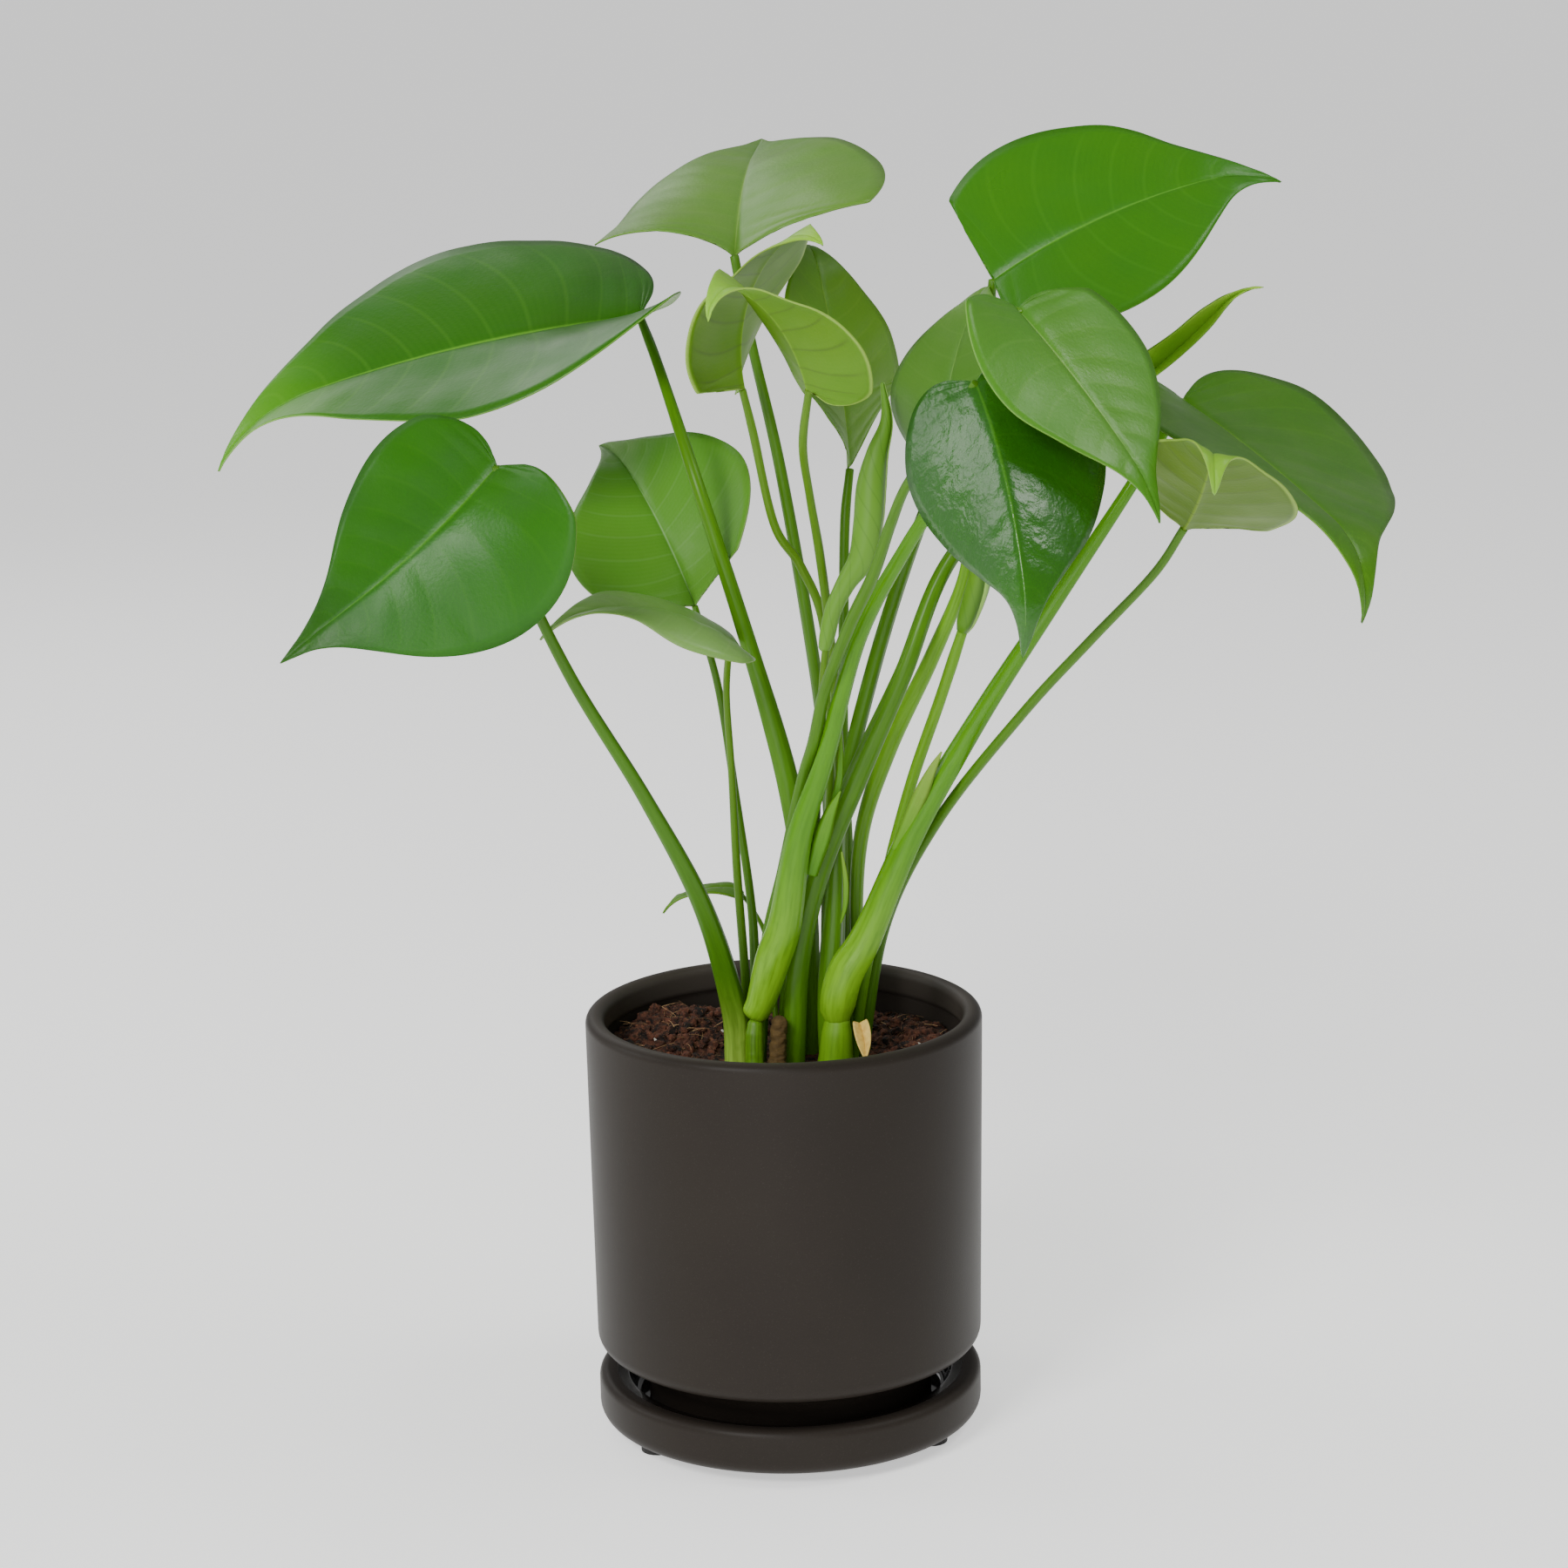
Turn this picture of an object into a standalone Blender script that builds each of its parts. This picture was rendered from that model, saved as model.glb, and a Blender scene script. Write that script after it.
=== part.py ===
"""Potted monstera plant: a young heart-leaved monstera in a cylinder pot on its saucer.

Metres, +Z up. The origin is on the pot's axis, on the surface that the saucer's feet stand on.
The saucer stands on three pads, the pot's foot ring stands in the saucer, the soil fills the pot,
and every stalk rises from the soil to the neck of its own leaf. Leaf and stalk places are counted
from the soil level, so the plant rides up and down with the pot.
"""

import math
from collections import namedtuple

import bmesh
import bpy
import numpy as np

# Clearance between touching pieces
GAP = 0.0003

# Pot
POT_RADIUS = 0.0635
POT_HEIGHT = 0.1297
POT_TAPER = 0.0012
POT_WALL = 0.0045
POT_CORNER = 0.0050
POT_FLOOR = 0.0050
RIM_BAND_WIDTH = 0.0062
RIM_BAND_HEIGHT = 0.0080
RIM_ROUND = 0.0030
FOOT_INSET = 0.0175
FOOT_WIDTH = 0.0050
FOOT_HEIGHT = 0.0190
FOOT_CHAMFER = 0.0010
DRAIN_RADIUS = 0.0060

# Saucer and its pads
SAUCER_INSET = 0.0013
SAUCER_RIM_WIDTH = 0.0062
SAUCER_HEIGHT = 0.0153
SAUCER_FLOOR = 0.0045
SAUCER_WALL_SLOPE = 0.0040
SAUCER_CORNER = 0.0050
SAUCER_FILLET_WIDTH = 0.0030
SAUCER_FILLET_HEIGHT = 0.0012
PAD_HEIGHT = 0.0032
PAD_RADIUS = 0.0055
PAD_INSET = 0.0007
PAD_ANGLES = {"pad_left": 213.0, "pad_right": 331.0, "pad_back": 92.0}

# Soil
SOIL_BELOW_RIM = 0.0173
SOIL_HEAPS = (
    # centre x, centre y, height, spread
    (-0.036, 0.026, 0.0085, 0.017),
    (0.040, 0.020, 0.0045, 0.016),
    (0.030, -0.036, 0.0020, 0.014),
    (-0.030, -0.034, 0.0020, 0.012),
)

# The soil is level round the stems, and its heaps rise over a short way beyond
STEMS_CENTRE = (0.006, 0.003)
STEMS_RADIUS = 0.034
STEMS_FADE = 0.010

# A slanted stalk starts this many radii higher, times its slope, so that its end clears the soil
BASE_LIFT = 1.3
# A stalk stops short of the blade: the least slant that is counted, and how far a folded blade
# hangs beside its neck, in stalk radii
LEAST_SLANT = 0.35
NECK_HANG = 1.8

# Plant
PLANT_SCALE = 1.0
LEAF_THICKNESS = 0.0007
STALK_THICKNESS = 1.0

# Radii and heights that follow from the sizes above
FOOT_RADIUS = POT_RADIUS - FOOT_INSET
SAUCER_RADIUS = POT_RADIUS - SAUCER_INSET
PAD_CIRCLE = SAUCER_RADIUS - SAUCER_CORNER - PAD_INSET - PAD_RADIUS
SAUCER_BASE_Z = PAD_HEIGHT + GAP
SAUCER_FLOOR_Z = SAUCER_BASE_Z + SAUCER_FLOOR
SAUCER_RIM_Z = SAUCER_BASE_Z + SAUCER_HEIGHT
POT_BASE_Z = SAUCER_FLOOR_Z + GAP
POT_RIM_Z = POT_BASE_Z + POT_HEIGHT
POT_BODY_Z = POT_BASE_Z + FOOT_HEIGHT
SOIL_Z = POT_RIM_Z - SOIL_BELOW_RIM
PLANT_Z = SOIL_Z + GAP

# Faces round a turned piece, and rows and columns of a leaf
TURN_STEPS = 40
SOIL_STEPS = 32
VEIN_ROWS = 16
HALF_COLUMNS = 3
SHEATH_ROWS = 8
SHEATH_HALF_COLUMNS = 1
STALK_POINTS = 12

# One half of a flat leaf: (distance along the midrib / length, distance from it / half width).
# It runs from the sinus at the neck round the lobe and the widest point to the drip tip.
LEAF_OUTLINE = (
    (0.0, 0.0), (-0.045, 0.10), (-0.10, 0.26), (-0.115, 0.44), (-0.085, 0.64), (-0.01, 0.84),
    (0.10, 0.965), (0.22, 1.0), (0.35, 0.955), (0.48, 0.82), (0.60, 0.62), (0.71, 0.38),
    (0.80, 0.20), (0.88, 0.095), (0.95, 0.04), (1.0, 0.0),
)
# The share of the outline whose veins all leave from the neck, and how the other feet spread
NECK_VEINS = 0.22
VEIN_SPREAD = 1.25
# Where along the midrib the tip starts to curl, and how far the lobes' cupping reaches
TIP_START = 0.70
CUP_REACH = 0.45

# A leaf's angles are degrees. heading is the way the midrib points, counted from +X to +Y, and
# pitch is its rise at the neck. It falls by droop, turns by sweep, and its tip curls down by curl.
# roll lifts the left half. fold lifts each half, arch bends it on towards the margin, cup lifts
# the lobes, (left, right). lobe is the size of the lobes behind the neck. A leaf without lobes may
# have a wedge, the share of its length by which its base is drawn forward towards the margins.
Leaf = namedtuple(
    "Leaf", "name neck length half_width heading pitch roll droop sweep curl fold arch cup lobe wedge",
    defaults=(-1.0,))

LEAVES = (
    Leaf("left_large", (-0.043, 0.080, 0.231), 0.152, (0.063, 0.064),
         192, -4, -26, 19, -12, 40, (10, 10), (-3, -20), (28, -8), 0.54),
    Leaf("left_low", (-0.082, -0.050, 0.200), 0.087, (0.042, 0.040),
         204, -45, -48, -13, -23, 9, (-12, -12), (-19, -2), (38, -3), 0.57),
    Leaf("left_upright", (-0.026, 0.030, 0.143), 0.090, (0.034, 0.039),
         119, 50, -36, 36, -7, 20, (19, 19), (0, 0), (21, 31), 0.0),
    Leaf("left_arched", (-0.015, -0.009, 0.135), 0.066, (0.028, 0.027),
         190, 47, 3, 76, 11, 12, (20, 20), (-75, -32), (11, 6), 0.63),
    Leaf("top", (-0.011, 0.032, 0.254), 0.122, (0.049, 0.049),
         87, 29, -7, 32, -3, -10, (17, 17), (-62, -29), (25, 10), 0.0, 0.06),
    Leaf("young_left", (-0.009, -0.012, 0.217), 0.077, (0.033, 0.033),
         318, 104, 20, 110, -18, 21, (1, 1), (0, 0), (27, 5), 0.0),
    Leaf("young_centre", (0.011, -0.050, 0.221), 0.066, (0.027, 0.027),
         230, 70, -13, 70, 3, 89, (11, 16), (0, 0), (4, 9), 0.63),
    Leaf("back_upright", (0.025, 0.060, 0.182), 0.090, (0.037, 0.037),
         145, 89, 22, 36, -45, 95, (6, 5), (0, 0), (6, 8), 0.0, 0.30),
    Leaf("right_large", (0.069, 0.010, 0.247), 0.100, (0.043, 0.042),
         352, 35, 41, 32, 33, 22, (3, 2), (0, 0), (5, 11), 0.0),
    Leaf("front_right", (0.070, -0.096, 0.248), 0.076, (0.033, 0.032),
         316, -39, 8, 14, 4, 22, (-1, -1), (0, 0), (2, 21), 0.41),
    Leaf("front_glossy", (0.057, -0.109, 0.229), 0.088, (0.036, 0.036),
         286, -35, 25, 41, -4, 47, (-35, -35), (-20, -16), (17, 8), 1.0),
    Leaf("behind_front", (0.052, -0.022, 0.195), 0.069, (0.028, 0.029),
         43, 97, -14, 80, 30, 25, (-1, -1), (0, 0), (-6, 15), 0.70),
    Leaf("right_far", (0.126, -0.009, 0.211), 0.123, (0.052, 0.050),
         295, -14, -17, 10, 1, 90, (5, 7), (-6, -10), (14, 5), 1.0),
    Leaf("young_right", (0.119, -0.078, 0.182), 0.073, (0.029, 0.027),
         278, 29, -20, -6, -13, 188, (10, 11), (0, 0), (6, 15), 0.0),
    Leaf("half_open", (0.110, 0.010, 0.211), 0.056, (0.014, 0.014),
         20, 33, 65, -15, -12, 50, (62, 61), (31, 26), (-15, 7), 0.70),
    Leaf("seedling", (-0.015, 0.052, 0.044), 0.027, (0.011, 0.011),
         188, 10, 7, 47, 8, 17, (7, 6), (-16, -17), (-16, 2), 0.69),
)

# A stalk's route, base first, as (x, y, z, radius). It ends at the neck of its leaf.
Stalk = namedtuple("Stalk", "leaf route end_radius")

STALKS = (
    Stalk("left_large", ((0.008, 0.010, 0.0, 0.0034), (0.008, 0.009, 0.046, 0.0038),
                         (0.003, 0.008, 0.088, 0.0038), (-0.009, 0.010, 0.134, 0.0029),
                         (-0.024, 0.015, 0.184, 0.0023), (-0.036, 0.048, 0.217, 0.0018)), 0.0015),
    Stalk("left_low", ((-0.015, -0.004, 0.0, 0.0042), (-0.016, -0.004, 0.019, 0.0042),
                       (-0.025, -0.013, 0.055, 0.0032), (-0.042, -0.024, 0.093, 0.0023),
                       (-0.063, -0.034, 0.133, 0.0019), (-0.078, -0.042, 0.171, 0.0016)), 0.0014),
    Stalk("left_upright", ((-0.009, 0.012, 0.0, 0.0017), (-0.009, 0.015, 0.030, 0.0017),
                           (-0.010, 0.020, 0.049, 0.0015), (-0.014, 0.026, 0.080, 0.0014),
                           (-0.019, 0.030, 0.116, 0.0013)), 0.0011),
    Stalk("left_arched", ((-0.012, 0.008, 0.0, 0.0016), (-0.012, 0.008, 0.023, 0.0015),
                          (-0.014, 0.009, 0.060, 0.0014), (-0.015, 0.006, 0.093, 0.0012),
                          (-0.016, 0.000, 0.119, 0.0011)), 0.0011),
    Stalk("top", ((0.018, 0.027, 0.0, 0.0024), (0.017, 0.028, 0.057, 0.0024), (0.015, 0.027, 0.097, 0.0022),
                  (0.010, 0.025, 0.138, 0.0021), (0.002, 0.029, 0.188, 0.0019),
                  (-0.006, 0.030, 0.226, 0.0016)), 0.0015),
    Stalk("young_left", ((0.013, 0.016, 0.0, 0.0018), (0.015, 0.017, 0.058, 0.0018),
                         (0.017, 0.016, 0.099, 0.0017), (0.015, 0.010, 0.139, 0.0015),
                         (0.008, 0.006, 0.159, 0.0015), (0.000, 0.001, 0.173, 0.0014),
                         (-0.006, -0.007, 0.203, 0.0013)), 0.0012),
    Stalk("young_centre", ((0.020, 0.013, 0.0, 0.0018), (0.020, 0.012, 0.059, 0.0018),
                           (0.019, 0.011, 0.100, 0.0017), (0.017, 0.004, 0.135, 0.0015),
                           (0.014, -0.007, 0.164, 0.0015), (0.011, -0.022, 0.185, 0.0013),
                           (0.009, -0.038, 0.203, 0.0013)), 0.0012),
    Stalk("back_upright", ((0.024, 0.024, 0.0, 0.0020), (0.022, 0.027, 0.055, 0.0020),
                           (0.021, 0.034, 0.097, 0.0018), (0.022, 0.044, 0.138, 0.0017),
                           (0.023, 0.054, 0.165, 0.0016)), 0.0014),
    Stalk("rolled_centre", ((0.003, 0.018, 0.0, 0.0016), (0.010, 0.018, 0.048, 0.0015),
                            (0.012, 0.004, 0.089, 0.0014), (0.014, -0.007, 0.122, 0.0012)), 0.0012),
    Stalk("right_large", ((0.015, -0.001, 0.0, 0.0040), (0.015, 0.0, 0.022, 0.0043),
                          (0.017, 0.003, 0.052, 0.0034), (0.019, 0.006, 0.080, 0.0026),
                          (0.027, 0.009, 0.113, 0.0026), (0.038, 0.012, 0.149, 0.0024),
                          (0.052, 0.013, 0.186, 0.0020), (0.066, 0.012, 0.217, 0.0016)), 0.0014),
    Stalk("front_right", ((-0.009, -0.011, 0.019, 0.0043), (-0.007, -0.011, 0.023, 0.0048),
                          (-0.003, -0.012, 0.037, 0.0058), (0.001, -0.013, 0.049, 0.0055),
                          (0.006, -0.015, 0.077, 0.0042), (0.015, -0.020, 0.105, 0.0030),
                          (0.025, -0.032, 0.143, 0.0027), (0.039, -0.050, 0.173, 0.0022),
                          (0.053, -0.066, 0.198, 0.0020), (0.063, -0.080, 0.221, 0.0017)), 0.0014),
    Stalk("front_glossy", ((-0.008, 0.001, 0.0, 0.0022), (-0.005, 0.001, 0.037, 0.0022),
                           (0.001, -0.003, 0.064, 0.0021), (0.007, -0.011, 0.093, 0.0021),
                           (0.011, -0.019, 0.108, 0.0022), (0.014, -0.026, 0.124, 0.0020),
                           (0.018, -0.034, 0.137, 0.0020), (0.023, -0.043, 0.151, 0.0021),
                           (0.029, -0.055, 0.166, 0.0020), (0.034, -0.067, 0.183, 0.0018),
                           (0.039, -0.079, 0.197, 0.0015), (0.049, -0.095, 0.213, 0.0013)), 0.0013),
    Stalk("behind_front", ((0.026, 0.012, 0.0, 0.0022), (0.024, 0.014, 0.035, 0.0022),
                           (0.026, 0.016, 0.069, 0.0025), (0.035, 0.014, 0.098, 0.0029),
                           (0.049, 0.008, 0.129, 0.0026), (0.059, 0.000, 0.156, 0.0020),
                           (0.059, -0.008, 0.175, 0.0016)), 0.0012),
    Stalk("right_far", ((0.017, -0.011, 0.017, 0.0041), (0.017, -0.011, 0.021, 0.0052),
                        (0.020, -0.011, 0.032, 0.0051), (0.027, -0.011, 0.044, 0.0048),
                        (0.042, -0.012, 0.078, 0.0042), (0.064, -0.014, 0.116, 0.0033),
                        (0.086, -0.016, 0.150, 0.0026), (0.110, -0.015, 0.186, 0.0020)), 0.0016),
    Stalk("young_right", ((0.025, 0.006, 0.0, 0.0020), (0.033, 0.005, 0.043, 0.0020),
                          (0.050, -0.004, 0.079, 0.0018), (0.075, -0.030, 0.118, 0.0016),
                          (0.094, -0.050, 0.144, 0.0015), (0.111, -0.069, 0.167, 0.0013)), 0.0013),
    Stalk("half_open", ((0.002, -0.005, 0.0, 0.0046), (0.005, -0.003, 0.035, 0.0043),
                        (0.012, -0.003, 0.063, 0.0040), (0.025, -0.004, 0.094, 0.0036),
                        (0.039, -0.004, 0.125, 0.0030), (0.056, 0.005, 0.162, 0.0025),
                        (0.090, 0.006, 0.194, 0.0019)), 0.0014),
    Stalk("rolled_right", ((0.022, 0.002, 0.0, 0.0017), (0.027, 0.002, 0.030, 0.0017),
                           (0.034, 0.004, 0.061, 0.0018), (0.042, 0.003, 0.090, 0.0019),
                           (0.051, -0.001, 0.117, 0.0019)), 0.0017),
    Stalk("seedling", ((-0.002, 0.026, 0.0, 0.0010), (-0.003, 0.030, 0.011, 0.0010),
                       (-0.005, 0.038, 0.029, 0.0009), (-0.009, 0.046, 0.037, 0.0007)), 0.0007),
)

# A leaf that is still rolled: its axis from the foot to the tip, as (x, y, z, radius)
ROLLED_LEAVES = {
    "rolled_centre": ((0.015, -0.009, 0.136, 0.0022), (0.016, -0.009, 0.140, 0.0028),
                      (0.018, -0.010, 0.148, 0.0030), (0.022, -0.010, 0.156, 0.0035),
                      (0.027, -0.011, 0.164, 0.0047), (0.029, -0.011, 0.175, 0.0051),
                      (0.030, -0.010, 0.186, 0.0050), (0.032, -0.009, 0.196, 0.0037),
                      (0.035, -0.008, 0.206, 0.0021), (0.034, -0.007, 0.217, 0.0008)),
    "rolled_right": ((0.058, -0.006, 0.140, 0.0022), (0.059, -0.007, 0.143, 0.0032),
                     (0.061, -0.008, 0.149, 0.0038), (0.063, -0.009, 0.156, 0.0039),
                     (0.064, -0.010, 0.163, 0.0027), (0.066, -0.011, 0.170, 0.0012)),
}

# Short pieces at the soil, as (x, y, z, radius) from base to top
SOIL_STUBS = {
    "stem_front": ((-0.0095, -0.0150, 0.0, 0.0032), (-0.0096, -0.0135, 0.0105, 0.0030)),
    "stem_back": ((0.0020, 0.0040, 0.0, 0.0020), (0.0030, 0.0030, 0.0200, 0.0020)),
    "root_front": ((-0.0025, -0.0145, 0.0, 0.0029), (-0.0015, -0.0125, 0.0150, 0.0024)),
    "stem_right": ((0.0160, -0.0115, 0.0, 0.0058), (0.0165, -0.0115, 0.0095, 0.0050)),
}

# The dried leaf sheath that lies on the soil
DRIED_SHEATH = Leaf("dried", (0.0240, -0.0175, 0.0170), 0.017, (0.0030, 0.0034),
                    290, -46, 10, -12, -30, 0, (25, 30), (20, 10), (0, 0), 0.0)

COLOURS = {
    # sRGB hex, roughness
    "pot": ("#3A3632", 0.55),
    "saucer": ("#2F2C29", 0.45),
    "pad": ("#151413", 0.70),
    "soil": ("#4A2A1B", 0.95),
    "leaf": ("#3E7A1F", 0.40),
    "young_leaf": ("#7FA13E", 0.45),
    "stalk": ("#6E9A2C", 0.45),
    "stem": ("#5C8A26", 0.50),
    "root": ("#6B4A26", 0.85),
    "dried": ("#C9A765", 0.80),
}


def linear(code):
    """An sRGB hex colour as linear red, green, blue and alpha."""
    parts = [int(code[i:i + 2], 16) / 255 for i in (1, 3, 5)]
    return [c / 12.92 if c <= 0.04045 else ((c + 0.055) / 1.055) ** 2.4 for c in parts] + [1.0]


def paint(obj, kind):
    """Give the object the Principled material of its kind."""
    colour, roughness = COLOURS[kind]
    material = bpy.data.materials.get(kind) or bpy.data.materials.new(kind)
    material.use_nodes = True
    shader = material.node_tree.nodes["Principled BSDF"]
    shader.inputs["Base Color"].default_value = linear(colour)
    shader.inputs["Roughness"].default_value = roughness
    obj.data.materials.clear()
    obj.data.materials.append(material)


def add_object(name, data, kind, smooth=True):
    """Link an object to the plant's collection, with its material."""
    obj = bpy.data.objects.new(name, data)
    bpy.data.collections["potted_monstera"].objects.link(obj)
    paint(obj, kind)
    if smooth and isinstance(data, bpy.types.Mesh):
        data.shade_smooth()
    return obj


def arc(centre, radius, start, end, count):
    """Points on a circle in the profile's plane, angles in degrees."""
    angles = np.radians(np.linspace(start, end, count))
    return [(centre[0] + radius * math.cos(a), centre[1] + radius * math.sin(a)) for a in angles]


def turned(name, profile, kind, steps, closed):
    """A solid of revolution about Z. The profile runs down its outer side."""
    points = [(r, 0.0, z) for r, z in profile]
    edges = [(i, i + 1) for i in range(len(points) - 1)]
    if closed:
        edges.append((len(points) - 1, 0))
    mesh = bpy.data.meshes.new(name)
    mesh.from_pydata(points, edges, [])
    obj = add_object(name, mesh, kind, smooth=False)
    screw = obj.modifiers.new("turn", "SCREW")
    screw.steps = steps
    screw.render_steps = steps
    screw.use_merge_vertices = not closed
    screw.merge_threshold = 0.00001
    screw.use_smooth_shade = True
    return obj


def smooth_path(points, count):
    """Points spread evenly along a Catmull-Rom curve through the given ones."""
    knots = np.array(points, float)
    ends = np.vstack((2 * knots[0] - knots[1], knots, 2 * knots[-1] - knots[-2]))
    u = np.linspace(0, 1, 16, endpoint=False)[:, None]
    spans = []
    for a, b, c, d in zip(ends, ends[1:], ends[2:], ends[3:]):
        bend = (2 * a - 5 * b + 4 * c - d) * u ** 2 + (3 * b - a - 3 * c + d) * u ** 3
        spans.append(b + ((c - a) * u + bend) / 2)
    fine = np.vstack(spans + [knots[-1:]])
    axes = min(3, knots.shape[1])
    steps = np.linalg.norm(np.diff(fine[:, :axes], axis=0), axis=1)
    along = np.concatenate(([0.0], np.cumsum(steps)))
    wanted = np.linspace(0, along[-1], count)
    return np.stack([np.interp(wanted, along, column) for column in fine.T], axis=1)


def tube(name, route, kind, count):
    """A round stalk along a route of (x, y, z, radius), with closed ends."""
    curve = bpy.data.curves.new(name, "CURVE")
    curve.dimensions = "3D"
    curve.bevel_depth = 1.0
    curve.bevel_resolution = 2
    curve.use_fill_caps = True
    spline = curve.splines.new("POLY")
    path = smooth_path(route, count)
    spline.points.add(len(path) - 1)
    for point, (x, y, z, radius) in zip(spline.points, path):
        point.co = (x, y, z, 1.0)
        point.radius = radius
    return add_object(name, curve, kind)


def on_plant(place):
    """A place counted from the soil level, as a world position. Thicker stalks stand wider apart."""
    x, y, z = place
    stems_x, stems_y = STEMS_CENTRE
    spread = (stems_x + (x - stems_x) * STALK_THICKNESS, stems_y + (y - stems_y) * STALK_THICKNESS, z)
    return np.array(spread) * PLANT_SCALE + (0, 0, PLANT_Z)


def plant_route(points):
    """A route of (x, y, z, radius) counted from the soil level, in world space."""
    scaled = []
    for x, y, z, radius in points:
        scaled.append((*on_plant((x, y, z)), radius * PLANT_SCALE * STALK_THICKNESS))
    return scaled


def midrib(leaf, count=60):
    """The midrib's points, its directions and its headings, neck first."""
    u = np.linspace(0, 1, count)
    heading = np.radians(leaf.heading + leaf.sweep * u)
    tip = np.clip((u - TIP_START) / (1 - TIP_START), 0, 1) ** 1.3
    rise = np.radians(leaf.pitch - leaf.droop * u - leaf.curl * tip)
    way = np.stack((np.cos(heading) * np.cos(rise), np.sin(heading) * np.cos(rise), np.sin(rise)), 1)
    step = leaf.length * PLANT_SCALE / (count - 1)
    run = np.cumsum((way[1:] + way[:-1]) / 2 * step, axis=0)
    return u, np.vstack(([0, 0, 0], run)) + on_plant(leaf.neck), way, heading


def leaf_frame(leaf, share):
    """Midrib point, direction, left side and upper normal at a share of the length."""
    u, points, ways, headings = midrib(leaf)
    inside = min(max(share, 0.0), 1.0)
    point = np.array([np.interp(inside, u, points[:, k]) for k in range(3)])
    way = np.array([np.interp(inside, u, ways[:, k]) for k in range(3)])
    way /= np.linalg.norm(way)
    point = point + way * min(share, 0.0) * leaf.length * PLANT_SCALE
    heading = np.interp(inside, u, headings)
    level = np.array((-math.sin(heading), math.cos(heading), 0.0))
    upper = np.cross(way, level)
    roll = math.radians(leaf.roll)
    left = math.cos(roll) * level + math.sin(roll) * upper
    normal = -math.sin(roll) * level + math.cos(roll) * upper
    return point, way, left, normal


def leaf_point(leaf, row, across, outline):
    """The place on the curved blade of a vein row (0 to 1) at -1 (left margin) to 1 (right)."""
    side = 1 if across <= 0 else -1
    half = 0 if side > 0 else 1
    margin_x, margin_y = outline[round(row * (len(outline) - 1))]
    margin_x *= leaf.lobe if margin_x < 0 else 1.0
    margin_x = max(margin_x, leaf.wedge * margin_y)
    foot = max(0.0, (row - NECK_VEINS) / (1 - NECK_VEINS)) ** VEIN_SPREAD
    share = foot + (margin_x - foot) * abs(across)
    half_width = leaf.half_width[half] * PLANT_SCALE
    reach = margin_y * abs(across) * half_width
    point, way, left, normal = leaf_frame(leaf, share)
    cup = leaf.cup[half] * min(max((CUP_REACH - share) / CUP_REACH, 0.0), 1.3) ** 1.5
    fold = math.radians(leaf.fold[half] + cup)
    bend = math.radians(leaf.arch[half]) / half_width
    if abs(bend) > 1e-6:
        out = (math.sin(fold + bend * reach) - math.sin(fold)) / bend
        lift = (math.cos(fold) - math.cos(fold + bend * reach)) / bend
    else:
        out = math.cos(fold) * reach
        lift = math.sin(fold) * reach
    return point + side * left * out + normal * lift


def blade(leaf, name, kind, rows=VEIN_ROWS, half_columns=HALF_COLUMNS):
    """A leaf blade: a grid laid along the veins, bent into shape, then given its thickness."""
    outline = smooth_path(LEAF_OUTLINE, rows)
    mesh = bpy.data.meshes.new(name)
    grid = bmesh.new()
    bmesh.ops.create_grid(grid, x_segments=2 * half_columns, y_segments=rows - 1, size=1.0)
    for vertex in grid.verts:
        vertex.co = leaf_point(leaf, (vertex.co.y + 1) / 2, vertex.co.x, outline)
    bmesh.ops.remove_doubles(grid, verts=grid.verts, dist=0.000002)
    grid.to_mesh(mesh)
    grid.free()
    obj = add_object(name, mesh, kind)
    solidify = obj.modifiers.new("thickness", "SOLIDIFY")
    solidify.thickness = LEAF_THICKNESS
    solidify.offset = 0.0
    return obj


def planted(route):
    """The route with its base lifted until the slanted end clears the soil's level."""
    x, y, z, radius = route[0]
    rise = np.array(route[1][:3]) - (x, y, z)
    slope = math.hypot(rise[0], rise[1]) / np.linalg.norm(rise)
    return [(x, y, z + BASE_LIFT * radius * slope, radius)] + route[1:]


def stalk_end(stalk, leaf):
    """The last point of a stalk, just short of the blade at the leaf's neck."""
    neck, _, _, normal = leaf_frame(leaf, 0.0)
    before = on_plant(stalk.route[-1][:3])
    way = (neck - before) / np.linalg.norm(neck - before)
    radius = stalk.end_radius * PLANT_SCALE * STALK_THICKNESS
    slant = max(abs(float(way @ normal)), LEAST_SLANT)
    hang = NECK_HANG * radius * math.tan(math.radians(max(0.0, -min(leaf.fold))))
    clear = LEAF_THICKNESS / 2 + GAP + radius * math.sqrt(1 - slant ** 2) + hang
    return (*(neck - way * clear / slant), radius)


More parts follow.
